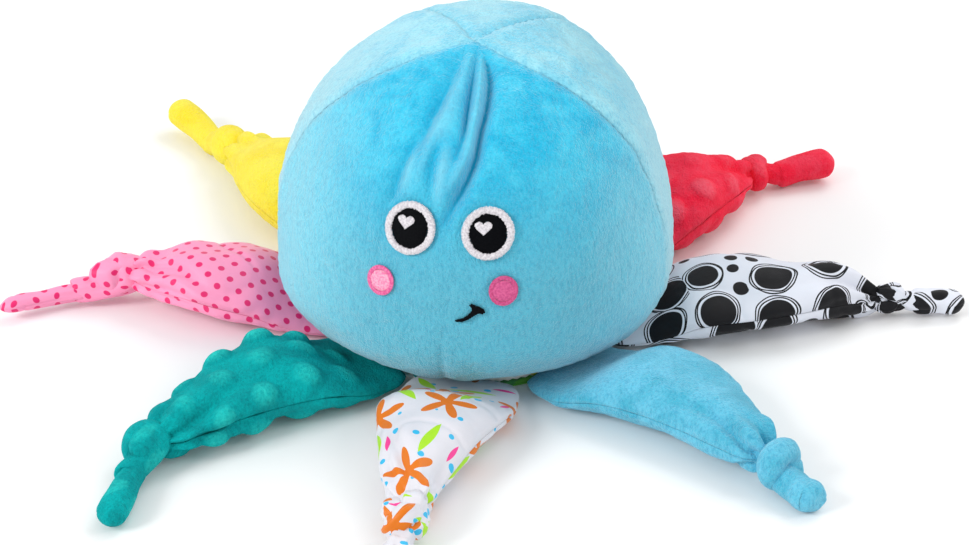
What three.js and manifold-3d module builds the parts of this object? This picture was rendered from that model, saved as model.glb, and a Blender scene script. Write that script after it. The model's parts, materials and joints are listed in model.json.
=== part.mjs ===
// Plush octopus: a big stuffed head on a small round base, with eight knotted fabric legs.
// Millimetres, +Z up, face towards -Y, origin at the middle of the flat underside of the base.
import * as THREE from 'three'
import { mergeVertices } from 'three/addons/utils/BufferGeometryUtils.js'
import Module from 'manifold-3d'

const wasm = await Module()
wasm.setup()

// Clearances between separate pieces of cloth
const seam_gap = 0.3
const stuffing_gap = 1.2
const stitch_gap = 0.35

// Head: a round crown over a flatter belly, both drawn as superellipses about one equator
const head_radius = 74
const crown_height = 92
const crown_power = 2.13
const belly_depth = 33.3
const belly_power = 2.25
const head_wall = 3
const seam_groove = 1.3
const pole_shift = 13.5
const pole_hole_radius = 3

// Base: a flat round panel with a band of printed cloth standing on it
const base_thickness = 2
const base_edge_round = 0.5
const band_radius = 47.3
const band_thickness = 2.6
const band_height = 4.4
const head_overhang = 0.7

// Seams of the head: angles from the front, where four panels meet at the pole
const front_seam_at_pole = 48
const front_seam_at_equator = 79
const back_seam_angle = 139

// Face, measured along the cloth from the face's middle line
const eye_spread = 27.4
const eye_height = 78.2
const eye_width = 18.6
const eye_tall = 20
const pupil_width = 13.8
const pupil_tall = 14.8
const heart_width = 6.4
const heart_side_shift = 1.6
const heart_rise = 2
const cheek_spread = 45.5
const cheek_height = 57.3
const cheek_width = 11.6
const cheek_tall = 12.4
const smile_width = 10
const smile_side_shift = 8.9
const smile_height = 49
const ring_stitch_height = 1
const fill_stitch_height = 0.7

// Legs: each is flat under the belly, swells beyond it and tapers to its neck
const leg_count = 8
const first_leg_angle = 4
const leg_length = 100
const leg_half_width = 23
const leg_crown = 18.9
const leg_belly = 3.2
const leg_wall = 1.3
const leg_fill_gap = 1
const mouth_length = 3
const mouth_half_height = 1.7
const mouth_half_width = 17.5
const covered_length = 31
const neck_half_width = 5.8
const neck_half_height = 5

// Knots and tails
const knot_radius = 10
const knot_core_radius = 8.6
const knot_wrap_thickness = 3.2
const knot_wrap_tilt = 32
const tail_length = 40
const tail_half_width = 6.3
const tail_half_height = 5.8
const tail_root_radius = 5.6

// Each leg: its turn away from square to the base, its length from root line to the knot's middle and its
// sideways bow as shares of the leg length, its knot's share of the knot size, how far its tail reaches past
// the knot's middle as a share of the tail length, and how far the tail turns aside and rises
const legs = [
  { name: 'leg_black_white', cloth: 'black_white_satin', turn: 8, length_share: 1.07, bow_share: 0,
    knot_share: 0.78, tail_share: 0.725, bend: -4, rise: 0 },
  { name: 'leg_red', cloth: 'red_minky', turn: 0, length_share: 1.01, bow_share: -0.01,
    knot_share: 0.86, tail_share: 0.875, bend: -20, rise: 6 },
  { name: 'leg_green', cloth: 'green_plush', turn: 0, length_share: 0.97, bow_share: 0.03,
    knot_share: 1, tail_share: 0.875, bend: 6, rise: 0 },
  { name: 'leg_yellow', cloth: 'yellow_plush', turn: -1, length_share: 1.07, bow_share: 0.04,
    knot_share: 1, tail_share: 1.075, bend: -3, rise: 12 },
  { name: 'leg_pink', cloth: 'pink_dot_satin', turn: -4, length_share: 0.87, bow_share: 0.01,
    knot_share: 1.08, tail_share: 1.15, bend: 28, rise: 0 },
  { name: 'leg_teal', cloth: 'teal_minky', turn: -1, length_share: 1, bow_share: -0.06,
    knot_share: 0.95, tail_share: 1.025, bend: 37, rise: 0 },
  { name: 'leg_white', cloth: 'white_print_satin', turn: -8, length_share: 0.91, bow_share: -0.01,
    knot_share: 1, tail_share: 0.6, bend: 0, rise: 0 },
  { name: 'leg_blue', cloth: 'blue_plush', turn: 4, length_share: 1.01, bow_share: 0.06,
    knot_share: 1.03, tail_share: 0.575, bend: -12, rise: 0 },
]

// Shape of a leg along its length: the first stations are shares of the stretch under the belly and the
// others of the stretch beyond it, and the sizes are shares of the greatest half width, crown and belly
const covered_station_shares = [0, 0.28, 0.6, 1]
const open_station_shares = [0.3, 0.58, 0.82]
const leg_width_shares = [0.85, 0.95, 1, 1, 0.94, 0.77, 0.48]
const leg_crown_shares = [0.16, 0.245, 0.4, 0.92, 1, 0.94, 0.76]
const leg_belly_shares = [0.9, 1, 1, 0.85, 0.45, 0.2, 0]
const leg_seam_share = 0.5
const leg_root_share = 0.3

// Shape of a tail along its length, as shares of its length and of its half width
const tail_station_shares = [0.25, 0.74, 0.93]
const tail_width_shares = [0.97, 1, 0.68]

// Shape of a heart: how much each of four waves adds to its rise, as shares of its width
const heart_wave_shares = [0.406, -0.156, -0.0625, -0.031]

// Mesh fineness
const face_columns = 11
const side_columns = 5
const back_columns = 6
const edge_column_share = 0.05
const crown_rows = 8
const belly_rows = 3
const leg_columns = 6
const tail_sides = 8
const knot_sides = 8
const knot_rows = 6
const wrap_sides = 6
const wrap_steps = 11
const root_rings = 3
const round_sides = 40
const stuffing_sides = 20
const stitch_sides = 26
const weld_share = 0.0001
const slope_step_share = 0.001

const cloth_looks = {
  head_plush: { color: '#5bb8d4', roughness: 0.95 },
  stuffing: { color: '#f2f2ee', roughness: 1 },
  band_print: { color: '#b9d8c0', roughness: 0.8 },
  black_white_satin: { color: '#dfe6ea', roughness: 0.5 },
  red_minky: { color: '#ff3d57', roughness: 0.9 },
  green_plush: { color: '#a5d65a', roughness: 0.95 },
  yellow_plush: { color: '#fef054', roughness: 0.95 },
  pink_dot_satin: { color: '#ffa8cb', roughness: 0.5 },
  teal_minky: { color: '#01a1a4', roughness: 0.9 },
  white_print_satin: { color: '#eef1f0', roughness: 0.5 },
  blue_plush: { color: '#83dcf3', roughness: 0.95 },
  white_thread: { color: '#dcd8dc', roughness: 0.5 },
  black_thread: { color: '#101014', roughness: 0.5 },
  pink_thread: { color: '#e8609c', roughness: 0.5 },
}

const radians = THREE.MathUtils.degToRad
const blend = THREE.MathUtils.lerp
const head_foot_radius = band_radius + head_overhang
const head_foot_height = base_thickness + seam_gap + band_height + seam_gap
const foot_fall = belly_depth * (1 - (head_foot_radius / head_radius) ** belly_power) ** (1 / belly_power)
const equator_height = head_foot_height + foot_fall
const leg_root_height = base_thickness + seam_gap + band_height * leg_root_share
const leg_root_radius = band_radius + seam_gap + Math.hypot(mouth_length, mouth_half_height)
const tail_root_height = tail_half_height + seam_gap

const octopus = new THREE.Group()

function add_piece(name, cloth, geometry, parent = octopus) {
  const material = new THREE.MeshStandardMaterial({ ...cloth_looks[cloth], metalness: 0, name: cloth })
  const mesh = new THREE.Mesh(geometry, material)
  mesh.name = name
  parent.add(mesh)
}

// Geometry made from points and triangles, turned inside out if its faces point inwards
function solid_from(points, triangles) {
  let volume = 0
  for (const [a, b, c] of triangles) {
    volume += points[a].dot(new THREE.Vector3().crossVectors(points[b], points[c]))
  }
  const facing_out = volume > 0 ? triangles : triangles.map(([a, b, c]) => [a, c, b])
  const geometry = new THREE.BufferGeometry().setFromPoints(points)
  geometry.setIndex(facing_out.flat())
  geometry.computeVertexNormals()
  return geometry
}

// A sheet of cloth with thickness: two grids of points joined along their four edges
function cloth_shell(outer, inner) {
  const rows = outer.length
  const columns = outer[0].length
  const points = [...outer.flat(), ...inner.flat()]
  const at = (side, row, column) => (side * rows + row) * columns + column
  const triangles = []
  const add_quad = (a, b, c, d) => triangles.push([a, b, c], [a, c, d])
  for (let row = 0; row < rows - 1; row++) {
    const below = row + 1
    for (let column = 0; column < columns - 1; column++) {
      const beside = column + 1
      add_quad(at(0, row, column), at(0, row, beside), at(0, below, beside), at(0, below, column))
      add_quad(at(1, row, column), at(1, below, column), at(1, below, beside), at(1, row, beside))
    }
    const last = columns - 1
    add_quad(at(0, row, 0), at(0, row + 1, 0), at(1, row + 1, 0), at(1, row, 0))
    add_quad(at(0, row, last), at(1, row, last), at(1, row + 1, last), at(0, row + 1, last))
  }
  for (let column = 0; column < columns - 1; column++) {
    const last = rows - 1
    add_quad(at(0, 0, column), at(1, 0, column), at(1, 0, column + 1), at(0, 0, column + 1))
    add_quad(at(0, last, column), at(0, last, column + 1), at(1, last, column + 1), at(1, last, column))
  }
  return solid_from(points, triangles)
}

// A closed body through a row of rings, with a middle point at each end
function ringed_body(rings, first_tip, last_tip) {
  const sides = rings[0].length
  const points = [...rings.flat(), first_tip, last_tip]
  const first = rings.length * sides
  const triangles = []
  for (let side = 0; side < sides; side++) {
    const next = (side + 1) % sides
    for (let ring = 0; ring < rings.length - 1; ring++) {
      const here = ring * sides
      const there = here + sides
      triangles.push([here + side, here + next, there + next], [here + side, there + next, there + side])
    }
    triangles.push([first, next, side], [first + 1, first - sides + side, first - sides + next])
  }
  return solid_from(points, triangles)
}

// A body of revolution about Z, from [radius, height] points
function turned(profile, sides) {
  const points = profile.map(([radius, height]) => new THREE.Vector2(radius, height))
  return new THREE.LatheGeometry(points, sides).rotateX(Math.PI / 2)
}

// Radius of the head at a height
function head_radius_at(height) {
  const above = height - equator_height
  const power = above > 0 ? crown_power : belly_power
  const reach = above > 0 ? crown_height : belly_depth
  return head_radius * (1 - (Math.abs(above) / reach) ** power) ** (1 / power)
}

// Height of the crown at a distance from the axis
function crown_height_at(radius) {
  const left = Math.max(0, 1 - (radius / head_radius) ** crown_power)
  return equator_height + crown_height * left ** (1 / crown_power)
}

// Height of the belly at a distance from the axis
function belly_height_at(radius) {
  const left = Math.max(0, 1 - (radius / head_radius) ** belly_power)
  return equator_height - belly_depth * left ** (1 / belly_power)
}

// Direction that the head's surface faces at a point
function head_normal(point) {
  const above = point.z - equator_height
  const power = above > 0 ? crown_power : belly_power
  const reach = above > 0 ? crown_height : belly_depth
  const radius = Math.hypot(point.x, point.y)
  const outward = (radius / head_radius) ** (power - 1) / head_radius
  const upward = (Math.sign(above) * (Math.abs(above) / reach) ** (power - 1)) / reach
  return new THREE.Vector3((point.x / radius) * outward, (point.y / radius) * outward, upward).normalize()
}

// Radius of a row of the head: rows run from the seam pole over the equator to the foot
function row_radius(row) {
  const pole = Math.asin(pole_hole_radius / head_radius)
  const foot = Math.asin(head_foot_radius / head_radius)
  const tilt = row <= crown_rows
    ? blend(pole, Math.PI / 2, row / crown_rows)
    : blend(Math.PI / 2, foot, (row - crown_rows) / belly_rows)
  return head_radius * Math.sin(tilt)
}

function height_on_row(row, radius) {
  return row <= crown_rows ? crown_height_at(radius) : belly_height_at(radius)
}

// A point of the head on a row, at an angle from the front: the crown's rows shift towards the seam pole
function head_point(row, angle_at) {
  const radius = row_radius(row)
  const ring = row <= crown_rows ? radius / head_radius : 1
  const angle = angle_at(ring, radius)
  const x = radius * Math.sin(angle)
  const y = -pole_shift * (1 - ring) - radius * Math.cos(angle)
  return new THREE.Vector3(x, y, height_on_row(row, Math.hypot(x, y)))
}

function front_seam(ring) {
  return radians(blend(front_seam_at_pole, front_seam_at_equator, ring))
}

function back_seam() {
  return radians(back_seam_angle)
}

// Columns of a panel, close together at its two seams so that the cloth dips into them
function panel_columns(columns) {
  const shares = [0]
  for (let column = 0; column <= columns; column++) {
    shares.push(blend(edge_column_share, 1 - edge_column_share, column / columns))
  }
  return [...shares, 1]
}

function head_panel(from_seam, to_seam, columns) {
  const shares = panel_columns(columns)
  const outer = []
  const inner = []
  for (let row = 0; row <= crown_rows + belly_rows; row++) {
    const surface = shares.map((share) => head_point(row, (ring, radius) => {
      const half_gap = seam_gap / 2 / radius
      return blend(from_seam(ring) + half_gap, to_seam(ring) - half_gap, share)
    }))
    const sunk = (point, depth) => point.clone().addScaledVector(head_normal(point), -depth)
    outer.push(surface.map((point, column) => {
      const at_seam = row === 0 || column === 0 || column === shares.length - 1
      return sunk(point, at_seam ? seam_groove : 0)
    }))
    inner.push(surface.map((point) => sunk(point, head_wall)))
  }
  return cloth_shell(outer, inner)
}

function add_head() {
  const left_front = (ring) => -front_seam(ring)
  const left_back = (ring) => -back_seam(ring)
  const round_the_back = (ring) => 2 * Math.PI - back_seam(ring)
  add_piece('head_face_panel', 'head_plush', head_panel(left_front, front_seam, face_columns))
  add_piece('head_left_panel', 'head_plush', head_panel(front_seam, back_seam, side_columns))
  add_piece('head_right_panel', 'head_plush', head_panel(left_back, left_front, side_columns))
  add_piece('head_back_panel', 'head_plush', head_panel(back_seam, round_the_back, back_columns))
  add_piece('head_stuffing', 'stuffing', head_stuffing())
}

// Loose fill inside the panels and the band, as one body of revolution
function head_stuffing() {
  const depth = head_wall + stuffing_gap
  const floor = base_thickness + seam_gap
  const radius = band_radius - band_thickness - stuffing_gap
  const profile = [[0, floor], [radius, floor], [radius, head_foot_height]]
  for (let row = crown_rows + belly_rows; row > 0; row--) {
    const point = new THREE.Vector3(row_radius(row), 0, height_on_row(row, row_radius(row)))
    point.addScaledVector(head_normal(point), -depth)
    profile.push([point.x, point.z])
  }
  profile.push([0, equator_height + crown_height - depth])
  return turned(profile, stuffing_sides)
}

function add_base() {
  const rim = band_radius - base_edge_round
  const panel = [[0, 0], [rim, 0], [band_radius, base_edge_round], [band_radius, base_thickness],
    [0, base_thickness]]
  add_piece('base_panel', 'band_print', turned(panel, round_sides))
  const foot = base_thickness + seam_gap
  const inner_radius = band_radius - band_thickness
  const band = [[inner_radius, foot], [band_radius, foot], [band_radius, foot + band_height],
    [inner_radius, foot + band_height], [inner_radius, foot]]
  add_piece('base_band', 'band_print', turned(band, round_sides))
}

// Lays a flat piece of embroidery on the face, from its distance round the head and its height
function laid_on_face(geometry, along, height) {
  const step = head_radius * slope_step_share
  const lean = (head_radius_at(height + step) - head_radius_at(height - step)) / (2 * step)
  const rise_share = 1 / Math.hypot(1, lean)
  const middle = along / head_radius_at(height)
  const places = geometry.attributes.position
  for (let index = 0; index < places.count; index++) {
    const z = height + places.getY(index) * rise_share
    const radius = head_radius_at(z)
    const angle = middle + places.getX(index) / radius
    const point = new THREE.Vector3(radius * Math.sin(angle), -radius * Math.cos(angle), z)
    point.addScaledVector(head_normal(point), stitch_gap + places.getZ(index))
    places.setXYZ(index, point.x, point.y, point.z)
  }
  geometry.deleteAttribute('normal')
  geometry.deleteAttribute('uv')
  return mergeVertices(geometry)
}

function stitched(shape, thickness) {
  return new THREE.ExtrudeGeometry(shape, { depth: thickness, bevelEnabled: false })
}

function oval(width, tall, across = 0, up = 0) {
  const curve = new THREE.EllipseCurve(across, up, width / 2, tall / 2, 0, 2 * Math.PI)
  return curve.getSpacedPoints(stitch_sides).slice(0, stitch_sides)
}

// Points of a heart round its middle: its sides and its rise are waves, in shares of its width
function heart(width, across, up) {
  const points = []
  for (let step = 0; step < stitch_sides; step++) {
    const turn = (2 * Math.PI * step) / stitch_sides
    const rise = heart_wave_shares.reduce((sum, share, wave) => sum + share * Math.cos((wave + 1) * turn), 0)
    points.push(new THREE.Vector2(across + (width / 2) * Math.sin(turn) ** 3, up + width * rise))
  }
  return points
}

function add_eye(side, direction) {
  const place = direction * eye_spread / 2
  const ring = new THREE.Shape(oval(eye_width, eye_tall))
  ring.holes.push(new THREE.Path(oval(pupil_width + 2 * seam_gap, pupil_tall + 2 * seam_gap)))
  const pupil = new THREE.Shape(oval(pupil_width, pupil_tall))
  pupil.holes.push(new THREE.Path(heart(heart_width + 2 * seam_gap, -heart_side_shift, heart_rise)))
  const highlight = new THREE.Shape(heart(heart_width, -heart_side_shift, heart_rise))
  const lay = (shape, thickness) => laid_on_face(stitched(shape, thickness), place, eye_height)
  add_piece(`eye_ring_${side}`, 'white_thread', lay(ring, ring_stitch_height))
  add_piece(`pupil_${side}`, 'black_thread', lay(pupil, fill_stitch_height))
  add_piece(`eye_heart_${side}`, 'white_thread', lay(highlight, ring_stitch_height))
}

function add_cheek(side, direction) {
  const disc = stitched(new THREE.Shape(oval(cheek_width, cheek_tall)), fill_stitch_height)
  add_piece(`cheek_${side}`, 'pink_thread', laid_on_face(disc, direction * cheek_spread / 2, cheek_height))
}

// A lopsided smile: a thin stroke that rises to a short thick tick, in shares of its width
const smile_shares = [
  [-0.5, -0.36], [-0.3, -0.36], [-0.08, -0.27], [0.12, -0.12], [0.28, -0.02], [0.4, -0.06], [0.5, 0.02],
  [0.46, 0.14], [0.3, 0.25], [0.1, 0.32], [0.02, 0.36], [-0.04, 0.28], [0.04, 0.16], [0.04, 0.06],
  [-0.08, -0.07], [-0.26, -0.21], [-0.46, -0.27], [-0.53, -0.32],
]

function add_smile() {
  const outline = smile_shares.map(([across, up]) => {
    return new THREE.Vector2(across * smile_width, up * smile_width)
  })
  const stroke = stitched(new THREE.Shape(outline), fill_stitch_height)
  add_piece('smile', 'black_thread', laid_on_face(stroke, smile_side_shift, smile_height))
}

// How far the knot's middle lies from the leg's root line
function knot_place(leg) {
  return leg_length * leg.length_share
}

// Where a leg's open neck ends, so that the inner edge of its cloth lies round the knot
function neck_place(leg) {
  const inner = neck_half_height * leg.knot_share - leg_wall
  return knot_place(leg) - Math.sqrt((knot_core_radius * leg.knot_share) ** 2 - inner ** 2) - seam_gap
}

// One leg's stations: each place along and aside with the leg's half width, crown and belly there
function leg_stations(leg) {
  const neck = neck_place(leg)
  const covered = covered_station_shares.map((share) => covered_length * share)
  const open = open_station_shares.map((share) => blend(covered_length, neck, share))
  const bow_start = covered_length / 2
  const bow = leg_length * leg.bow_share
  const swelling = [...covered, ...open].map((x, index) => ({
    x,
    aside: bow * Math.sin(Math.PI * Math.max(0, x - bow_start) / (neck - bow_start)),
    width: leg_half_width * leg_width_shares[index],
    crown: leg_crown * leg_crown_shares[index],
    belly: leg_belly * leg_belly_shares[index],
  }))
  const middle = knot_height(leg) - leg_root_height
  const half = neck_half_height * leg.knot_share
  const neck_width = neck_half_width * leg.knot_share
  const mouth = { crown: mouth_half_height, belly: mouth_half_height }
  return [
    { x: -mouth_length, aside: 0, width: mouth_half_width, ...mouth },
    ...swelling,
    { x: neck, aside: 0, width: neck_width, crown: middle + half, belly: half - middle },
  ]
}

// A point on a leg's cloth, sunk by a depth: side is 1 for the upper panel and -1 for the under panel
function leg_point(station, side, turn, depth, half_gap) {
  const seam = (station.crown - station.belly) * leg_seam_share
  const bulge = (side > 0 ? station.crown - seam : station.belly + seam) - half_gap - depth
  const y = station.aside + (station.width - depth) * Math.cos(turn)
  return new THREE.Vector3(station.x, y, seam + side * (half_gap + bulge * Math.sin(turn)))
}

function leg_panel(leg, side) {
  const turns = Array.from({ length: leg_columns + 1 }, (_, column) => (Math.PI * column) / leg_columns)
  const grid = (depth) => leg_stations(leg).map((station) =>
    turns.map((turn) => leg_point(station, side, turn, depth, seam_gap / 2)))
  return cloth_shell(grid(0), grid(leg_wall))
}

function middle_of(ring) {
  return ring.reduce((sum, point) => sum.add(point), new THREE.Vector3()).divideScalar(ring.length)
}

// Loose fill inside a leg, clear of both panels
function leg_fill(leg) {
  const depth = leg_wall + leg_fill_gap
  const rings = leg_stations(leg).slice(1, -1).map((station) => {
    const ring = []
    for (let step = 0; step < 2 * leg_columns; step++) {
      const turn = (Math.PI * step) / leg_columns
      const side = step <= leg_columns ? 1 : -1
      ring.push(leg_point(station, side, turn * side, depth, 0))
    }
    return ring
  })
  return ringed_body(rings, middle_of(rings[0]), middle_of(rings[rings.length - 1]))
}

function as_solid(geometry) {
  geometry.deleteAttribute('normal')
  geometry.deleteAttribute('uv')
  const merged = mergeVertices(geometry, knot_radius * weld_share)
  const mesh = new wasm.Mesh({
    numProp: 3,
    vertProperties: Float32Array.from(merged.attributes.position.array),
    triVerts: Uint32Array.from(merged.index.array),
  })
  return new wasm.Manifold(mesh)
}

function from_solid(solid) {
  const mesh = solid.getMesh()
  const geometry = new THREE.BufferGeometry()
  geometry.setAttribute('position', new THREE.BufferAttribute(mesh.vertProperties, 3))
  geometry.setIndex(new THREE.BufferAttribute(mesh.triVerts, 1))
  return geometry
}

// A knot: a round lump whose pole faces its tail, with one turn of the tube wrapped aslant round it
function knot(leg) {
  const drop = tail_root_height - knot_height(leg)
  const to_tail = new THREE.Vector3(tail_root_distance(leg), 0, drop).normalize()
  to_tail.applyAxisAngle(new THREE.Vector3(0, 0, 1), radians(leg.bend))
  const aim = new THREE.Quaternion().setFromUnitVectors(new THREE.Vector3(0, 1, 0), to_tail)
  const core = new THREE.SphereGeometry(knot_core_radius * leg.knot_share, knot_sides, knot_rows)
  core.applyQuaternion(aim)
  const thickness = knot_wrap_thickness * leg.knot_share
  const wrap_radius = knot_radius * leg.knot_share - thickness
  const wrap = new THREE.TorusGeometry(wrap_radius, thickness, wrap_sides, wrap_steps)
  wrap.rotateY(Math.PI / 2).rotateZ(radians(knot_wrap_tilt))
  return from_solid(as_solid(core).add(as_solid(wrap)))
}

// A tail: round at its root, so that it turns freely against the knot, and rounded off at its end
function tail(leg) {
  const length = tail_length * leg.tail_share - tail_root_distance(leg)
  const ring = (x, width, height) => Array.from({ length: tail_sides }, (_, side) => {
    const turn = (2 * Math.PI * side) / tail_sides
    return new THREE.Vector3(x, width * Math.cos(turn), height * Math.sin(turn))
  })
  const rings = []
  for (let row = 1; row <= root_rings; row++) {
    const tilt = ((Math.PI / 2) * row) / root_rings
    const radius = tail_root_radius * Math.sin(tilt)
    rings.push(ring(-tail_root_radius * Math.cos(tilt), radius, radius))
  }
  tail_station_shares.forEach((share, index) => {
    const swell = tail_width_shares[index]
    rings.push(ring(length * share, tail_half_width * swell, tail_half_height * swell))
  })
  return ringed_body(rings, new THREE.Vector3(-tail_root_radius, 0, 0), new THREE.Vector3(length, 0, 0))
}

function knot_height(leg) {
  return knot_radius * leg.knot_share + seam_gap
}

// From the knot's middle to the line that its tail turns on, beside the knot and lower down
function tail_root_distance(leg) {
  const apart = knot_core_radius * leg.knot_share + seam_gap + tail_root_radius
  return Math.sqrt(apart ** 2 - (knot_height(leg) - tail_root_height) ** 2)
}

function add_leg(leg, index) {
  const root = radians(first_leg_angle + (360 / leg_count) * index)
  const limb = new THREE.Group()
  limb.position.set(leg_root_radius * Math.cos(root), leg_root_radius * Math.sin(root), leg_root_height)
  limb.rotation.z = root + radians(leg.turn)
  octopus.add(limb)
  add_piece(`${leg.name}_upper`, leg.cloth, leg_panel(leg, 1), limb)
  add_piece(`${leg.name}_under`, leg.cloth, leg_panel(leg, -1), limb)
  add_piece(`${leg.name}_fill`, 'stuffing', leg_fill(leg), limb)

  const lump = new THREE.Group()
  lump.position.set(knot_place(leg), 0, knot_height(leg) - leg_root_height)
  limb.add(lump)
  add_piece(`${leg.name}_knot`, leg.cloth, knot(leg), lump)

  const beyond = new THREE.Group()
  beyond.position.set(knot_place(leg), 0, tail_root_height - leg_root_height)
  beyond.rotation.z = radians(leg.bend)
  limb.add(beyond)
  const end = new THREE.Group()
  end.position.x = tail_root_distance(leg)
  end.rotation.y = -radians(leg.rise)
  beyond.add(end)
  add_piece(`${leg.name}_tail`, leg.cloth, tail(leg), end)
}

add_head()
add_base()
add_eye('left', 1)
add_eye('right', -1)
add_cheek('left', 1)
add_cheek('right', -1)
add_smile()
legs.forEach(add_leg)

export default octopus
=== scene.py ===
# %% [markdown]
# # A plush octopus with knotted legs
# The real toy is cut from flat cloth, sewn inside out, turned, stuffed with loose fill and closed by hand.
# Nothing on it is rigid, so every visible surface here is a sheet of cloth: a grid of small squares that is
# sewn into place by moving its points. Pleats, stitches and nap are then added on top of that main shape.
# A sheet like this could be sculpted by hand, but places that are worked out stay exact when a size changes.

# %% Load the fixed frame
import json
import math
from functools import partial

import bpy
import numpy as np
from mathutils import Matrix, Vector


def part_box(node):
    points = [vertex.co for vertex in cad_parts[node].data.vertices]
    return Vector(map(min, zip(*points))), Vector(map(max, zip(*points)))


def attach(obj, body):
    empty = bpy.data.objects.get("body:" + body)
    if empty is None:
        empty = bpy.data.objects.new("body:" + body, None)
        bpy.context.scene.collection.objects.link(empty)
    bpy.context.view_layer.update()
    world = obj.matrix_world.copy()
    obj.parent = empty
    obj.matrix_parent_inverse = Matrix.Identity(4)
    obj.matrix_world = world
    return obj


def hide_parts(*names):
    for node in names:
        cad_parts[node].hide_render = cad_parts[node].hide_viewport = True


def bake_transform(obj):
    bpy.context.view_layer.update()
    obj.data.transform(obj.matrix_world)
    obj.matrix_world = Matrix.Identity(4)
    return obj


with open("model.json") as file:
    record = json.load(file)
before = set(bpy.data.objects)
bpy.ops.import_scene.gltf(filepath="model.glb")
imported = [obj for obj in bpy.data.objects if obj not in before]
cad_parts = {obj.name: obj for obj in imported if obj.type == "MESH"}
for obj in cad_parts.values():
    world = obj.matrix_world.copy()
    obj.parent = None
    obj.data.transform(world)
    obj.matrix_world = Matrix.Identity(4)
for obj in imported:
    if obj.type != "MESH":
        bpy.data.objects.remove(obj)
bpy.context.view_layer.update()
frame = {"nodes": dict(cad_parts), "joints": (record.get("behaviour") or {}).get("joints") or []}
MM = 0.001
print("nodes in the frame:", len(frame["nodes"]))

# %% [markdown]
# ## Camera
# The photograph was taken from a little above and slightly to one side, with a long lens, so that the big
# head is hardly distorted. The camera turns about a point near the middle of the toy.

# %% Camera
VIEW_AZIMUTH = math.radians(8)
VIEW_ELEVATION = math.radians(31)
VIEW_DISTANCE = 1000 * MM
VIEW_LENS = 99.1
AIM_HEIGHT = 34 * MM
AIM_RIGHT = 3.56 * MM
AIM_DOWN = 11.06 * MM

camera_back = np.array([
    math.sin(VIEW_AZIMUTH) * math.cos(VIEW_ELEVATION),
    -math.cos(VIEW_AZIMUTH) * math.cos(VIEW_ELEVATION),
    math.sin(VIEW_ELEVATION),
])
camera_right = np.array([math.cos(VIEW_AZIMUTH), math.sin(VIEW_AZIMUTH), 0])
camera_up = np.cross(camera_back, camera_right)
aim_point = np.array([0, 0, AIM_HEIGHT]) + AIM_RIGHT * camera_right - AIM_DOWN * camera_up
bpy.ops.object.camera_add(
    location=aim_point + VIEW_DISTANCE * camera_back,
    rotation=(math.pi / 2 - VIEW_ELEVATION, 0, VIEW_AZIMUTH),
)
camera = bpy.context.object
camera.data.lens = VIEW_LENS
bpy.context.scene.camera = camera
bpy.context.scene.view_settings.view_transform = "Standard"
print("camera stands at", [round(value, 3) for value in camera.location])

# %% [markdown]
# ## Materials
# A colour is written as the hex value that a paint program shows, and one function turns it to the linear
# values that the renderer works with. Another adds a node: it sets the node's own settings, feeds each of
# its inputs from a value or from another node, and hands the node back.


# %% Colours
def linear(hex_colour):
    """The linear colour of an sRGB hex value."""
    shares = [int(hex_colour[place:place + 2], 16) / 255 for place in (1, 3, 5)]
    return [s / 12.92 if s <= 0.04045 else ((s + 0.055) / 1.055) ** 2.4 for s in shares] + [1]


print("middle grey is", round(linear("#808080")[0], 3), "in linear values")


# %% Nodes
def plug(material, socket, value):
    """Feeds one input from a node, from one of a node's outputs, or from a plain value."""
    if isinstance(value, bpy.types.Node):
        value = next(s for s in value.outputs if s.enabled)
    if isinstance(value, bpy.types.NodeSocket):
        material.node_tree.links.new(value, socket)
    else:
        socket.default_value = value


def add_node(material, kind, inputs=None, **settings):
    """Adds a node with its settings, and feeds its inputs, which are named or numbered."""
    node = material.node_tree.nodes.new(kind)
    for name, value in settings.items():
        setattr(node, name, value)
    for name, value in (inputs or {}).items():
        if isinstance(name, str):
            socket = next(s for s in node.inputs if s.enabled and s.name == name)
        else:
            socket = node.inputs[name]
        plug(material, socket, value)
    return node


def new_material(name):
    """An empty material with its shader."""
    material = bpy.data.materials.new(name)
    material.use_nodes = True
    return material


def finish_of(material):
    """The shader that holds a material's colour, gloss and sheen."""
    return material.node_tree.nodes["Principled BSDF"]


def colour_of(material):
    """What feeds a finish's colour so far, to build on."""
    return finish_of(material).inputs["Base Color"].links[0].from_socket


def set_finish(material, **inputs):
    """Feeds the finish's inputs, with the spaces in their names written as underscores."""
    for name, value in inputs.items():
        plug(material, finish_of(material).inputs[name.replace("_", " ")], value)


print("materials in the frame:", len(bpy.data.materials))

# %% [markdown]
# ## Plush
# The head and three legs are short-pile plush: a knitted back with a nap of fine polyester about 2 mm long.
# The nap lies in brushed patches and little tufts that catch the light differently, which is what the eye
# reads as velvet. So the colour wanders between two close tones, small streaks deepen the tone they lie on,
# the tips of the fibres get painted highlights as if they caught the light, sheen brightens the cloth where
# it curves away, and a fine bump breaks up the highlights. Single fibres are too fine to show, so they are
# drawn as specks half a millimetre wide. On the head the tone also turns greyer towards the bottom, partly
# as the nap is brushed down and partly as painted shade, and paler towards both sides, as a painted sheen
# where the head curves away.

# %% Nap and painted shade low down, and painted sheen at the sides
# Heights over which painted shade, together with the nap, turns the head greyer towards the bottom, then the
# middle and the reach over which a painted sheen turns it paler towards both sides
NAP_AND_SHADE_FROM = 108 * MM
NAP_AND_SHADE_FULL_AT = 52 * MM
SHEEN_MIDDLE_AT = 10 * MM
PAINTED_SHEEN_FROM = 32 * MM
PAINTED_SHEEN_TO = 76 * MM


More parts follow.
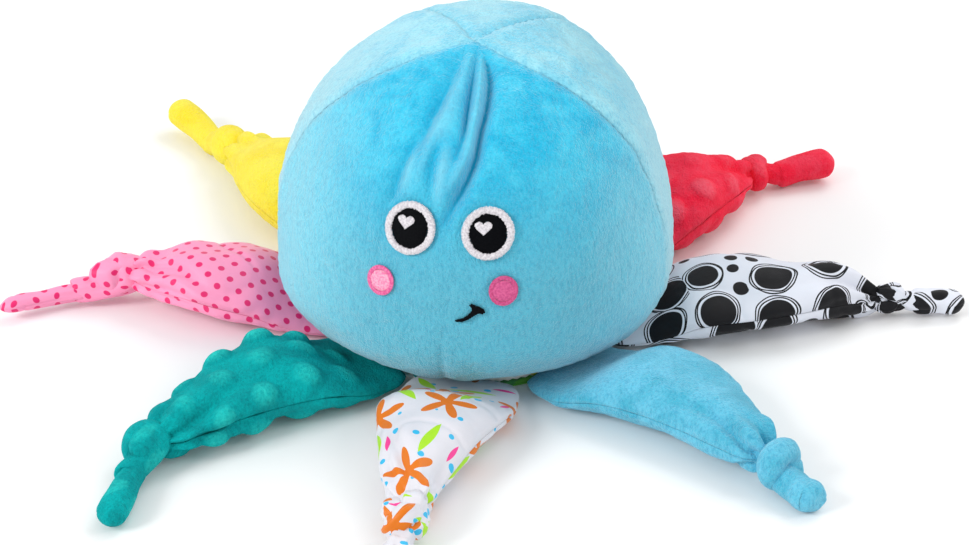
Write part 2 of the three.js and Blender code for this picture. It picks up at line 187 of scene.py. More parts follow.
def nap_with_painted_shade_and_sheen(cloth, place, tone, low, side):
    """Greyer towards the bottom, partly nap and partly painted shade, and paler towards both sides as a
    painted sheen.
    """
    spot = add_node(cloth, "ShaderNodeSeparateXYZ", {"Vector": place})
    # Painted shade, partly nap: the tone turns greyer lower down the head
    sunk = add_node(cloth, "ShaderNodeMapRange", {
        "Value": spot.outputs["Z"], "From Min": NAP_AND_SHADE_FROM, "From Max": NAP_AND_SHADE_FULL_AT,
    }, interpolation_type="SMOOTHSTEP")
    tone = add_node(cloth, "ShaderNodeMix", {"Factor": sunk, "A": tone, "B": linear(low)},
                    data_type="RGBA")
    from_sheen_middle = add_node(cloth, "ShaderNodeMath", {0: spot.outputs["X"], 1: SHEEN_MIDDLE_AT},
                            operation="SUBTRACT")
    aside = add_node(cloth, "ShaderNodeMath", {0: from_sheen_middle}, operation="ABSOLUTE")
    # Painted sheen: the tone turns paler towards both sides, where the head curves away
    turned = add_node(cloth, "ShaderNodeMapRange", {
        "Value": aside, "From Min": PAINTED_SHEEN_FROM, "From Max": PAINTED_SHEEN_TO,
    }, interpolation_type="SMOOTHSTEP")
    return add_node(cloth, "ShaderNodeMix", {"Factor": turned, "A": tone, "B": linear(side)},
                    data_type="RGBA")


print("the nap turns between", round(NAP_AND_SHADE_FULL_AT / MM), "and", round(NAP_AND_SHADE_FROM / MM), "mm up the head")

# %% Plush material
PLUSH_STREAK = 1.05 * MM
PLUSH_PATCH = 13 * MM
PLUSH_FIBRE = 0.5 * MM
BRUSHED_DOWN = (1, 1, 0.45)
# Between which values of its noise each effect fades in
PATCH_FADE = (0.4, 0.6)
STREAK_FADE = (0.56, 0.34)
TIP_HIGHLIGHT_FADE = (0.44, 0.64)
TIP_HIGHLIGHT_SHARE = 0.12
PILE_HEIGHT = 0.85 * MM


def plush(name, middle, light, shade, sheen_tint, sheen=0.5, low=None, side=None, depth=0.6):
    """Short brushed pile: colour in patches, shaded streaks, painted highlights on fibre tips, and painted
    shade and sheen.
    """
    cloth = new_material(name)
    place = add_node(cloth, "ShaderNodeTexCoord").outputs["Object"]
    brushed_down = add_node(cloth, "ShaderNodeMapping", {"Vector": place, "Scale": BRUSHED_DOWN})
    patches = add_node(cloth, "ShaderNodeTexNoise", {"Vector": place, "Scale": 1 / PLUSH_PATCH, "Detail": 5,
                                                     "Distortion": 0.6})
    streaks = add_node(cloth, "ShaderNodeTexNoise", {"Vector": brushed_down, "Scale": 1 / PLUSH_STREAK,
                                                     "Detail": 3, "Roughness": 0.6})
    fibres = add_node(cloth, "ShaderNodeTexNoise", {"Vector": place, "Scale": 1 / PLUSH_FIBRE, "Detail": 2})
    brushed = add_node(cloth, "ShaderNodeMapRange", {"Value": patches, "From Min": PATCH_FADE[0],
                                                     "From Max": PATCH_FADE[1]})
    parted = add_node(cloth, "ShaderNodeMapRange", {"Value": streaks, "From Min": STREAK_FADE[0],
                                                    "From Max": STREAK_FADE[1], "To Max": depth})
    # Painted highlights: pale specks in the sheen's colour, where fibre tips would catch the light
    tip_highlight = add_node(cloth, "ShaderNodeMapRange", {"Value": fibres, "From Min": TIP_HIGHLIGHT_FADE[0],
                                                   "From Max": TIP_HIGHLIGHT_FADE[1], "To Max": TIP_HIGHLIGHT_SHARE * depth})
    tone = add_node(cloth, "ShaderNodeMix", {"Factor": brushed, "A": linear(middle), "B": linear(light)},
                    data_type="RGBA")
    # low paints shade towards the bottom, partly nap, and side paints a sheen towards both sides
    if low:
        tone = nap_with_painted_shade_and_sheen(cloth, place, tone, low, side)
    streaked = add_node(cloth, "ShaderNodeMix", {"Factor": parted, "A": tone, "B": linear(shade)},
                        data_type="RGBA", blend_type="MULTIPLY")
    with_tip_highlights = add_node(cloth, "ShaderNodeMix", {"Factor": tip_highlight, "A": streaked, "B": linear(sheen_tint)},
                       data_type="RGBA")
    height = add_node(cloth, "ShaderNodeMath", {0: streaks, 1: fibres}, operation="ADD")
    bump = add_node(cloth, "ShaderNodeBump", {"Strength": 0.85, "Distance": PILE_HEIGHT, "Height": height})
    set_finish(cloth, Base_Color=with_tip_highlights, Normal=bump, Roughness=0.95, Specular_IOR_Level=0.15,
               Sheen_Weight=sheen, Sheen_Roughness=0.4, Sheen_Tint=linear(sheen_tint))
    return cloth


print("streaks of the nap:", round(PLUSH_STREAK / MM, 2), "mm")

# %% Painted shade in creases and painted light on ridges
CREASE_SHADE_FULL_AT = -0.85
RIDGE_LIGHT_SHARE = 0.65


def folds_with_painted_shade_and_light(cloth, deep, pale):
    """Painted shade gives a crease a deeper colour, partly as its nap closes, and painted light makes a
    ridge paler.
    """
    # Painted shade where the fold attribute is negative, in creases, and painted light where it is positive,
    # on ridges
    fold = add_node(cloth, "ShaderNodeAttribute", attribute_name="fold").outputs["Fac"]
    sunk = add_node(cloth, "ShaderNodeMapRange", {"Value": fold, "From Max": CREASE_SHADE_FULL_AT})
    painted_ridge_light = add_node(cloth, "ShaderNodeMapRange", {"Value": fold, "To Max": RIDGE_LIGHT_SHARE})
    painted_crease_shade = add_node(cloth, "ShaderNodeMix", {"Factor": sunk, "A": colour_of(cloth), "B": linear(deep)},
                       data_type="RGBA")
    with_painted_ridge_light = add_node(cloth, "ShaderNodeMix", {"Factor": painted_ridge_light, "A": painted_crease_shade, "B": linear(pale)},
                      data_type="RGBA")
    set_finish(cloth, Base_Color=with_painted_ridge_light)


print("a crease has its deepest colour at", CREASE_SHADE_FULL_AT)

# %% The plush cloths
# The side and back panels are the face panel's cloth made paler: partly their nap lies the other way round,
# and partly it is painted light, as they face up into the lamps. On both cloths low paints shade towards the
# bottom, partly nap, and side paints a sheen towards both sides
head_plush = plush("head_plush", "#12c0ea", "#3ed3f6", "#a8d2e2", "#e4f8ff", sheen=0.9, low="#5cbdd6",
                   side="#86e2f8", depth=0.48)
folds_with_painted_shade_and_light(head_plush, "#0ab2de", "#9ae6fa")
crown_plush_painted_lighter = plush("crown_plush_painted_lighter", "#80dcf5", "#a2ebfb", "#a8d2e2", "#e4f8ff", sheen=1.0, low="#86d2e6",
                    side="#b0ecfa", depth=0.48)
blue_plush = plush("blue_plush", "#4abad8", "#6accea", "#a8d2e2", "#d4f4ff", sheen=0.6)
yellow_plush = plush("yellow_plush", "#fbe62c", "#fdef44", "#fbf0cb", "#fffde0", sheen=0.3, depth=0.5)
green_plush = plush("green_plush", "#8cc83e", "#a6da56", "#ccd8c0", "#efffd0", sheen=0.4)
print("plush:", [cloth.name for cloth in (head_plush, crown_plush_painted_lighter, blue_plush, yellow_plush, green_plush)])

# %% [markdown]
# ## Minky
# The teal and red legs are dimple plush, sold as minky: the same pile, embossed with large round domes. A
# dome's top is paler, partly as its nap stands up and looks fuzzier, and partly as a painted highlight where
# it would catch the light, so the material reads the dome heights that the mesh stores as an attribute.

# %% Minky material
FUZZ_SIZE = 1.3 * MM
FUZZ_FADE = (0.1, 0.5)
FUZZ_AND_HIGHLIGHT_SHARE = 0.85


def minky(name, middle, light, shade, pale_fuzz_and_highlight, sheen_tint, sheen=0.4):
    """Plush with embossed domes, whose tops are paler: partly fuzzier nap, partly a painted highlight."""
    cloth = plush(name, middle, light, shade, sheen_tint, sheen)
    # The dome attribute is high on dome tops, for their paler nap and painted highlight, and random on knots
    # and tails, for ruffled nap
    dome = add_node(cloth, "ShaderNodeAttribute", attribute_name="dome").outputs["Fac"]
    place = add_node(cloth, "ShaderNodeTexCoord").outputs["Object"]
    hairs = add_node(cloth, "ShaderNodeTexNoise", {"Vector": place, "Scale": 1 / FUZZ_SIZE, "Detail": 3})
    ragged = add_node(cloth, "ShaderNodeMath", {0: dome, 1: hairs}, operation="MULTIPLY")
    share = add_node(cloth, "ShaderNodeMapRange", {"Value": ragged, "From Min": FUZZ_FADE[0],
                                                   "From Max": FUZZ_FADE[1], "To Max": FUZZ_AND_HIGHLIGHT_SHARE})
    with_fuzz_and_highlight = add_node(cloth, "ShaderNodeMix", {"Factor": share, "A": colour_of(cloth), "B": linear(pale_fuzz_and_highlight)},
                      data_type="RGBA")
    set_finish(cloth, Base_Color=with_fuzz_and_highlight)
    return cloth


teal_minky = minky("teal_minky", "#009a9e", "#00b0b2", "#a0ced0", "#34dcd2", "#10f4ea", sheen=0.1)
red_minky = minky("red_minky", "#ff1c40", "#ff3c58", "#f8ccd8", "#ff6478", "#ff9aa6", sheen=0.2)
print("minky materials:", teal_minky.name, red_minky.name)

# %% [markdown]
# ## Satin and its prints
# Three legs are polyester satin: long threads float on the face, so it has a soft gloss that runs along the
# cloth and no nap. Its prints follow the cloth and not the room, so they read the UV map, which holds each
# point's place on the flat cloth in millimetres. The prints are made from cells: a Voronoi texture gives
# each point its nearest motif's middle and that motif's own random numbers. The threads of the weave are
# drawn 0.6 mm apart, which is far coarser than they are, because finer ones wouldn't show.

# %% Satin material
THREAD_PITCH = 0.6
THREAD_SHARE = 0.06
PUCKER_SIZE = 7 * MM
SATIN_RELIEF = 1.2 * MM


def satin(name, rough=0.42, shine=0.4, sheen=0.15):
    """Plain satin, ready for its printed colour, and the cloth's own millimetres for the print."""
    cloth = new_material(name)
    place = add_node(cloth, "ShaderNodeUVMap", uv_map="cloth").outputs["UV"]
    threads = add_node(cloth, "ShaderNodeTexWave", {"Vector": place, "Scale": 0.5 / THREAD_PITCH,
                                                    "Distortion": 1.5, "Detail": 1}, bands_direction="Y")
    object_place = add_node(cloth, "ShaderNodeTexCoord").outputs["Object"]
    puckers = add_node(cloth, "ShaderNodeTexNoise", {"Vector": object_place, "Scale": 1 / PUCKER_SIZE,
                                                     "Detail": 3})
    raised = add_node(cloth, "ShaderNodeMath", {0: threads, 1: THREAD_SHARE, 2: puckers},
                      operation="MULTIPLY_ADD")
    bump = add_node(cloth, "ShaderNodeBump", {"Strength": 0.35, "Distance": SATIN_RELIEF, "Height": raised})
    set_finish(cloth, Normal=bump, Roughness=rough, Specular_IOR_Level=shine, Sheen_Weight=sheen,
               Sheen_Roughness=0.3)
    return cloth, place


print("satin threads to a centimetre:", round(10 / THREAD_PITCH))

# %% Cells of a print
START_SKEW = 0.7


def cells(cloth, place, pitch, stray, start):
    """Motif cells of about one pitch: where a point lies from its motif's middle, and the random numbers."""
    moved = add_node(cloth, "ShaderNodeMapping", {"Vector": place,
                                                  "Location": (start, START_SKEW * start, 0)})
    field = add_node(cloth, "ShaderNodeTexVoronoi", {"Vector": moved, "Scale": 1 / pitch,
                                                     "Randomness": stray}, voronoi_dimensions="2D")
    offset = add_node(cloth, "ShaderNodeVectorMath", {0: moved, 1: field.outputs["Position"]},
                      operation="SUBTRACT")
    chance = add_node(cloth, "ShaderNodeSeparateColor", {"Color": field.outputs["Color"]})
    return offset, chance


print("cells start", START_SKEW, "as far across the cloth as along it")

# %% [markdown]
# ## Pin dots
# Pin dots sit in staggered rows. Two square lattices, one moved by half a step both ways, give each point
# its nearest dot, and ink lies where that dot's middle is closer than its radius. Real pin dots are about
# 2 mm wide. These are drawn 2.6 mm wide, so that they show.

# %% Pink satin with pin dots
DOT_PITCH = 8.5
DOT_RADIUS = 1.3
DOT_EDGE = 0.12


def dot_print():
    """Pale pink satin with deep pink dots."""
    cloth, place = satin("pink_dot_satin")
    nearest = None
    for shift in (0, 0.5):
        cell = add_node(cloth, "ShaderNodeVectorMath", {0: place, 1: [1 / DOT_PITCH] * 3, 2: [shift] * 3},
                        operation="MULTIPLY_ADD")
        within = add_node(cloth, "ShaderNodeVectorMath", {0: cell}, operation="FRACTION")
        centred = add_node(cloth, "ShaderNodeVectorMath", {0: within, 1: (0.5, 0.5, 0)},
                           operation="SUBTRACT")
        flat = add_node(cloth, "ShaderNodeVectorMath", {0: centred, 1: (1, 1, 0)}, operation="MULTIPLY")
        away = add_node(cloth, "ShaderNodeVectorMath", {0: flat}, operation="LENGTH").outputs["Value"]
        if nearest is not None:
            away = add_node(cloth, "ShaderNodeMath", {0: nearest, 1: away}, operation="MINIMUM")
        nearest = away
    inked = add_node(cloth, "ShaderNodeMapRange", {
        "Value": nearest,
        "From Min": (DOT_RADIUS + DOT_EDGE) / DOT_PITCH,
        "From Max": (DOT_RADIUS - DOT_EDGE) / DOT_PITCH,
    })
    dotted = add_node(cloth, "ShaderNodeMix", {
        "Factor": inked, "A": linear("#ff98bf"), "B": linear("#e81c6c"),
    }, data_type="RGBA")
    set_finish(cloth, Base_Color=dotted)
    return cloth


pink_dot_satin = dot_print()
print("printed:", pink_dot_satin.name)

# %% [markdown]
# ## Black and white print
# This cloth has black discs of several sizes on white, each with thin rings round it, and small dots in
# between. The rings come from the same distance as the disc: a ring is inked where that distance is close to
# its radius. A small disc is printed only where its own middle lies clear of the large discs, so none is
# cut. All sizes are in millimetres on the flat cloth.

# %% Discs
DISC_STRAY = 0.38


def disc_field(cloth, place, pitch, radii, start):
    """How far a point lies beyond the edge of its nearest disc, and that disc's middle and radius."""
    offset, chance = cells(cloth, place, pitch, DISC_STRAY, start)
    away = add_node(cloth, "ShaderNodeVectorMath", {0: offset}, operation="LENGTH").outputs["Value"]
    radius = add_node(cloth, "ShaderNodeMapRange", {"Value": chance.outputs["Red"], "To Min": radii[0],
                                                    "To Max": radii[1]})
    beyond = add_node(cloth, "ShaderNodeMath", {0: away, 1: radius}, operation="SUBTRACT")
    middle = add_node(cloth, "ShaderNodeVectorMath", {0: place, 1: offset}, operation="SUBTRACT")
    return beyond, middle, radius


print("a disc's middle strays by up to", DISC_STRAY, "of its cell")

# %% Black and white print
DISC_PITCH = 22
DISC_RADII = (5.8, 7.8)
DISC_START = 3
SPOT_PITCH = 8
SPOT_RADII = (2.3, 3.3)
SPOT_START = 11
SPOT_CLEARANCE = 2.6
RING_PLACES = (1.0, 1.9)
RING_LINE = 0.56
RING_SKETCH = 2.2
EDGE_SOFT = 0.08
WAVE_SCALE = 0.09
WAVE_REACH = 1.4


def disc_print():
    """White satin with ringed black discs, drawn as if by hand, and dots."""
    cloth, place = satin("black_white_satin", rough=0.55, shine=0.2, sheen=0.05)
    wavy = add_node(cloth, "ShaderNodeTexNoise", {"Vector": place, "Scale": WAVE_SCALE, "Detail": 1})
    bent = add_node(cloth, "ShaderNodeVectorMath", {0: wavy.outputs["Color"], 1: [WAVE_REACH] * 3, 2: place},
                    operation="MULTIPLY_ADD")
    sketch = add_node(cloth, "ShaderNodeSeparateColor", {"Color": wavy.outputs["Color"]})
    beyond, _, _ = disc_field(cloth, bent, DISC_PITCH, DISC_RADII, DISC_START)
    inked = add_node(cloth, "ShaderNodeMapRange", {"Value": beyond, "From Min": EDGE_SOFT,
                                                   "From Max": -EDGE_SOFT})
    for line_at, hand in zip(RING_PLACES, ("Green", "Blue")):
        wobble = add_node(cloth, "ShaderNodeMath", {0: sketch.outputs[hand], 1: RING_SKETCH, 2: beyond},
                          operation="MULTIPLY_ADD")
        line = add_node(cloth, "ShaderNodeMath", {0: wobble, 1: line_at + RING_SKETCH / 2, 2: RING_LINE / 2},
                        operation="COMPARE")
        inked = add_node(cloth, "ShaderNodeMath", {0: inked, 1: line}, operation="MAXIMUM")
    spot_beyond, spot_middle, spot_radius = disc_field(cloth, bent, SPOT_PITCH, SPOT_RADII, SPOT_START)
    from_disc, _, _ = disc_field(cloth, spot_middle, DISC_PITCH, DISC_RADII, DISC_START)
    room = add_node(cloth, "ShaderNodeMath", {0: from_disc, 1: spot_radius}, operation="SUBTRACT")
    is_free = add_node(cloth, "ShaderNodeMath", {0: room, 1: SPOT_CLEARANCE}, operation="GREATER_THAN")
    spotted = add_node(cloth, "ShaderNodeMapRange", {"Value": spot_beyond, "From Min": EDGE_SOFT,
                                                     "From Max": -EDGE_SOFT})
    spotted = add_node(cloth, "ShaderNodeMath", {0: spotted, 1: is_free}, operation="MULTIPLY")
    inked = add_node(cloth, "ShaderNodeMath", {0: inked, 1: spotted}, operation="MAXIMUM")
    ringed = add_node(cloth, "ShaderNodeMix", {
        "Factor": inked, "A": linear("#dfe2ec"), "B": linear("#121216"),
    }, data_type="RGBA")
    set_finish(cloth, Base_Color=ringed)
    return cloth


black_white_satin = disc_print()
print("printed:", black_white_satin.name)

# %% [markdown]
# ## White print
# White satin with a scatter of starry flowers, leaves and drops in orange, lime, turquoise and pink. Each
# motif is a shape in its own cell: a petalled flower is a radius that swings with the angle, and a leaf is
# two arcs that meet in points.

# %% Flower
PETALS = 5
PETAL_POINT = 2.6
PETAL_REACH = 0.78


def flower(cloth, offset, chance, size):
    """Five pointed petals that meet in the middle."""
    parts = add_node(cloth, "ShaderNodeSeparateXYZ", {"Vector": offset})
    angle = add_node(cloth, "ShaderNodeMath", {0: parts.outputs["Y"], 1: parts.outputs["X"]},
                     operation="ARCTAN2")
    turned = add_node(cloth, "ShaderNodeMath", {0: chance.outputs["Green"], 1: math.tau, 2: angle},
                      operation="MULTIPLY_ADD")
    halved = add_node(cloth, "ShaderNodeMath", {0: turned, 1: PETALS / 2}, operation="MULTIPLY")
    swing = add_node(cloth, "ShaderNodeMath", {0: halved}, operation="COSINE")
    petal = add_node(cloth, "ShaderNodeMath", {0: swing}, operation="ABSOLUTE")
    pointed = add_node(cloth, "ShaderNodeMath", {0: petal, 1: PETAL_POINT}, operation="POWER")
    edge = add_node(cloth, "ShaderNodeMath", {
        0: pointed, 1: size * PETAL_REACH, 2: size * (1 - PETAL_REACH),
    }, operation="MULTIPLY_ADD")
    away = add_node(cloth, "ShaderNodeVectorMath", {0: offset}, operation="LENGTH").outputs["Value"]
    return add_node(cloth, "ShaderNodeMath", {0: away, 1: edge}, operation="LESS_THAN")


print("petals to a flower:", PETALS)

# %% Leaf and drop
LEAF_WIDTH = 0.2
LEAST_DROP = 0.35


def leaf(cloth, offset, chance, size):
    """A pointed leaf, turned at random."""
    angle = add_node(cloth, "ShaderNodeMath", {0: chance.outputs["Green"], 1: math.tau},
                     operation="MULTIPLY")
    turned = add_node(cloth, "ShaderNodeVectorRotate", {"Vector": offset, "Angle": angle},
                      rotation_type="Z_AXIS")
    parts = add_node(cloth, "ShaderNodeSeparateXYZ", {"Vector": turned})
    along = add_node(cloth, "ShaderNodeMath", {0: parts.outputs["X"], 1: size}, operation="DIVIDE")
    squared = add_node(cloth, "ShaderNodeMath", {0: along, 1: 2}, operation="POWER")
    width = add_node(cloth, "ShaderNodeMath", {0: squared, 1: -LEAF_WIDTH * size, 2: LEAF_WIDTH * size},
                     operation="MULTIPLY_ADD")
    aside = add_node(cloth, "ShaderNodeMath", {0: parts.outputs["Y"]}, operation="ABSOLUTE")
    return add_node(cloth, "ShaderNodeMath", {0: aside, 1: width}, operation="LESS_THAN")


def drop(cloth, offset, chance, size):
    """A round drop of its own size."""
    radius = add_node(cloth, "ShaderNodeMapRange", {"Value": chance.outputs["Blue"],
                                                    "To Min": LEAST_DROP * size, "To Max": size})
    away = add_node(cloth, "ShaderNodeVectorMath", {0: offset}, operation="LENGTH").outputs["Value"]
    return add_node(cloth, "ShaderNodeMath", {0: away, 1: radius}, operation="LESS_THAN")


print("a leaf is", LEAF_WIDTH, "as wide as it is long")

# %% White print
MOTIF_SPREAD = 0.5
# Each motif's shape, the pitch of its cells and its size in millimetres, its ink, and where its cells start
PRINT_MOTIFS = (
    (drop, 13.0, 1.5, "#2fb8e6", 5.0),
    (leaf, 27.0, 9.0, "#a8e010", 23.0),
    (leaf, 33.0, 4.5, "#f23c94", 41.0),
    (flower, 30.0, 10.5, "#de7400", 17.0),
)


def sprig_print():
    """White satin with each kind of motif printed over the ones before."""
    cloth, place = satin("white_print_satin")
    colour = linear("#dddce3")
    for motif, pitch, size, ink, start in PRINT_MOTIFS:
        offset, chance = cells(cloth, place, pitch, MOTIF_SPREAD, start)
        inked = motif(cloth, offset, chance, size)
        colour = add_node(cloth, "ShaderNodeMix", {"Factor": inked, "A": colour, "B": linear(ink)},
                          data_type="RGBA")
    set_finish(cloth, Base_Color=colour)
    return cloth


white_print_satin = sprig_print()
print("printed:", white_print_satin.name)

# %% [markdown]
# ## Sheets that are sewn into place
# Every piece of cloth starts as Blender's grid. A function works out where each of its points belongs, and
# the grid keeps its order, so seams and pleats can be placed by row and column. The UV map gets the flat
# cloth's own millimetres. A tube is a grid whose first and last columns meet and are merged.

# %% Smooth curves and unevenness
CLOUD_WAVES = 14
CLOUD_SPREAD = 3.2


def smooth_step(low, high, value):
    """0 up to a low value, 1 from a high one, and a smooth rise in between."""
    share = np.clip((value - low) / (high - low), 0, 1)
    return share * share * (3 - 2 * share)


def smooth_through(places, values, at):
    """A smooth curve through a few stations: cubic stretches that share their slopes."""
    places, values = np.asarray(places, float), np.asarray(values, float)
    slopes = np.gradient(values, places, axis=0)
    index = np.clip(np.searchsorted(places, at) - 1, 0, len(places) - 2)
    step = places[index + 1] - places[index]
    share = (at - places[index]) / step
    if values.ndim == 2:
        step, share = step[:, None], share[:, None]
    rest = 1 - share
    return (values[index] * (1 + 2 * share) * rest ** 2 + values[index + 1] * share ** 2 * (3 - 2 * share)
            + step * (slopes[index] * share * rest ** 2 - slopes[index + 1] * share ** 2 * rest))


def cloudy(points, size, seed):
    """Smooth unevenness of about -1 to 1, in lumps of one size, the same on every run."""
    draw = np.random.default_rng(seed)
    total = np.zeros(points.shape[:-1])
    for _ in range(CLOUD_WAVES):
        direction = draw.normal(size=3)
        direction /= np.linalg.norm(direction)
        wave_length = size * draw.uniform(1.1, 2.8)
        total += np.sin(points @ direction * (math.tau / wave_length) + draw.uniform(0, math.tau))
    return total / CLOUD_SPREAD


print("a smooth step a quarter of the way along:", round(float(smooth_step(0, 1, 0.25)), 3))


# %% The cloth's directions and lengths
def facing_out(points, closed=False):
    """Direction square to the cloth at every point, away from the middle of its row."""
    along = np.gradient(points, axis=0)
    across = np.gradient(points, axis=1)
    if closed:
        ring = points[:, :-1]
        across = np.roll(ring, -1, axis=1) - np.roll(ring, 1, axis=1)
        across = np.concatenate([across, across[:, :1]], axis=1)
    facing = np.cross(across, along)
    facing /= np.maximum(np.linalg.norm(facing, axis=2, keepdims=True), 1e-15)
    away = points - points.mean(axis=1, keepdims=True)
    return facing if (facing * away).sum() > 0 else -facing


def raised(points, height, closed=False):
    """The cloth with its relief, square to its surface."""
    return points + facing_out(points, closed) * height[..., None]


def joined(points):
    """Brings a tube's last column exactly onto its first."""
    points[:, -1] = points[:, 0]
    return points


def cloth_millimetres(points):
    """Each point's place on the flat cloth: along it, and across it from its middle column."""
    middle = points.shape[1] // 2
    steps_along = np.linalg.norm(np.diff(points, axis=0), axis=2)[:, middle]
    along = np.concatenate([[0], np.cumsum(steps_along)])
    steps_across = np.linalg.norm(np.diff(points, axis=1), axis=2)
    across = np.concatenate([np.zeros((len(points), 1)), np.cumsum(steps_across, axis=1)], axis=1)
    across -= across[:, middle:middle + 1]
    return np.stack([np.broadcast_to(along[:, None], across.shape), across], axis=2) / MM


small_sheet = np.moveaxis(np.indices((3, 3)), 0, -1) * MM
print("a corner of a 2 mm sheet lies at", cloth_millimetres(small_sheet)[-1, -1], "on its UV map")

# %% Sewing
WELD = 0.005 * MM


def sew_grid(name, points, closed=False, **shares):
    """A grid primitive whose points take their worked-out places, with its UV map in millimetres."""
    cross = np.cross(np.gradient(points, axis=1), np.gradient(points, axis=0))
    if (cross * (points - points.mean(axis=1, keepdims=True))).sum() < 0:
        points = points[:, ::-1]
        shares = {key: share[:, ::-1] for key, share in shares.items()}
    rows, columns = points.shape[:2]
    bpy.ops.object.select_all(action="DESELECT")
    bpy.ops.mesh.primitive_grid_add(x_subdivisions=columns - 1, y_subdivisions=rows - 1, size=2)
    piece = bpy.context.object
    piece.name = piece.data.name = name
    mesh = piece.data
    flat = np.empty(len(mesh.vertices) * 3)
    mesh.vertices.foreach_get("co", flat)
    flat = flat.reshape(-1, 3)
    column = np.rint((flat[:, 0] + 1) / 2 * (columns - 1)).astype(int)
    row = np.rint((flat[:, 1] + 1) / 2 * (rows - 1)).astype(int)
    mesh.vertices.foreach_set("co", points[row, column].ravel())
    corner = np.empty(len(mesh.loops), int)
    mesh.loops.foreach_get("vertex_index", corner)
    mesh.uv_layers[0].name = "cloth"
    mesh.uv_layers[0].data.foreach_set("uv", cloth_millimetres(points)[row, column][corner].ravel())
    for key, share in shares.items():
        attribute = mesh.attributes.new(key, "FLOAT", "POINT")
        attribute.data.foreach_set("value", share[row, column].astype(np.float32))
    mesh.update()
    if closed:
        bpy.ops.object.mode_set(mode="EDIT")
        bpy.ops.mesh.select_all(action="SELECT")
        bpy.ops.mesh.remove_doubles(threshold=WELD)
        bpy.ops.object.mode_set(mode="OBJECT")
    bpy.ops.object.shade_smooth()
    return piece


print("a tube's edges are merged within", WELD / MM, "mm")

# %% Thickness, floor and finish
FLOOR_GAP = 0.1 * MM


def thicken(piece, thickness):
    """Gives a sheet its thickness on the inside."""
    wall = piece.modifiers.new("wall", "SOLIDIFY")
    wall.thickness = thickness
    wall.offset = -1
    bpy.ops.object.modifier_apply(modifier="wall")


def rest_on_floor(points):
    """Cloth that would sink into the floor lies flat on it."""
    points[..., 2] = np.maximum(points[..., 2], FLOOR_GAP)
    return points


def dress(piece, material, node):
    """Gives a stuffed piece its finish and lets it stand for its node."""
    piece.data.materials.append(material)
    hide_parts(node)


print("cloth clears the floor by", FLOOR_GAP / MM, "mm")

# %% [markdown]
# ## The head's shape
# The head is a stuffed ball with a taller crown and a flatter belly. Four panels meet at a pole that lies
# forward of the top, so that the seams frame the face. Both halves are superellipses about one equator,
# because those have the full shoulders of a stuffed ball, which a sphere lacks.

# %% Sizes of the head
SEAM_GAP = 0.3 * MM
HEAD_RADIUS = 74 * MM
CROWN_HEIGHT = 91.8 * MM
CROWN_POWER = 2.19
BELLY_DEPTH = 33.3 * MM
BELLY_POWER = 2.25
HEAD_LEAN = 2.2 * MM
BAND_RADIUS = 47.3 * MM
FOOT_RADIUS = BAND_RADIUS + 0.7 * MM
FOOT_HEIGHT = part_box("base_band")[1][2] + SEAM_GAP

foot_fall = BELLY_DEPTH * (1 - (FOOT_RADIUS / HEAD_RADIUS) ** BELLY_POWER) ** (1 / BELLY_POWER)
EQUATOR = FOOT_HEIGHT + foot_fall
print("equator at", round(EQUATOR / MM, 2), "mm")


# %% Curves of the head
def head_height(radius, above):
    """Height of the crown or the belly at a distance from the axis."""
    power = np.where(above, CROWN_POWER, BELLY_POWER)
    reach = np.where(above, CROWN_HEIGHT, -BELLY_DEPTH)
    left = np.clip(1 - (radius / HEAD_RADIUS) ** power, 0, 1)
    return EQUATOR + reach * left ** (1 / power)


def head_radius_at(height):
    """How far the head's surface lies from the axis at a height."""
    above = height > EQUATOR
    power = np.where(above, CROWN_POWER, BELLY_POWER)
    reach = np.where(above, CROWN_HEIGHT, BELLY_DEPTH)
    return HEAD_RADIUS * (1 - (np.abs(height - EQUATOR) / reach) ** power) ** (1 / power)


def settled(points):
    """The stuffed crown leans a little to one side."""
    share = np.clip((points[..., 2] - EQUATOR) / CROWN_HEIGHT, 0, 1)
    points = points.copy()
    points[..., 0] += HEAD_LEAN * share ** 2
    return points


print("top of the crown at", round(float(head_height(0, True)) / MM, 1), "mm")

# %% Seam lines and panel surface
HEAD_SEAM_GAP = 0.02 * MM
FRONT_SEAM_AT_POLE = math.radians(48)
FRONT_SEAM_AT_EQUATOR = math.radians(79)
POLE_SHIFT = 13.5 * MM
POLE_RADIUS = 0.05 * MM
CROWN_ROWS = 0.77


def front_seam(ring, side=1):
    """Angle of the seam that frames the face, which swings back from the pole to the equator."""
    return side * (FRONT_SEAM_AT_POLE + (FRONT_SEAM_AT_EQUATOR - FRONT_SEAM_AT_POLE) * ring)


def straight_seam(angle):
    """A seam at one angle all the way down."""
    return lambda ring: angle + 0 * ring


def head_surface(from_seam, to_seam, columns, rows):
    """A panel's plain surface from the pole to the foot, between two seams."""
    crown_rows = int(rows * CROWN_ROWS)
    tilt = np.concatenate([
        np.linspace(math.asin(POLE_RADIUS / HEAD_RADIUS), math.pi / 2, crown_rows, endpoint=False),
        np.linspace(math.pi / 2, math.asin(FOOT_RADIUS / HEAD_RADIUS), rows - crown_rows),
    ])
    above = (np.arange(rows) < crown_rows)[:, None]
    radius = (HEAD_RADIUS * np.sin(tilt))[:, None]
    ring = np.where(above, radius / HEAD_RADIUS, 1)
    half_gap = HEAD_SEAM_GAP / 2 / radius
    share = np.linspace(0, 1, columns)[None, :]
    angle = (from_seam(ring) + half_gap) * (1 - share) + (to_seam(ring) - half_gap) * share
    x = radius * np.sin(angle)
    y = -POLE_SHIFT * (1 - ring) - radius * np.cos(angle)
    return np.stack([x, y, head_height(np.hypot(x, y), above)], axis=2)


print("the pole lies", round(POLE_SHIFT / MM, 1), "mm ahead of the top")

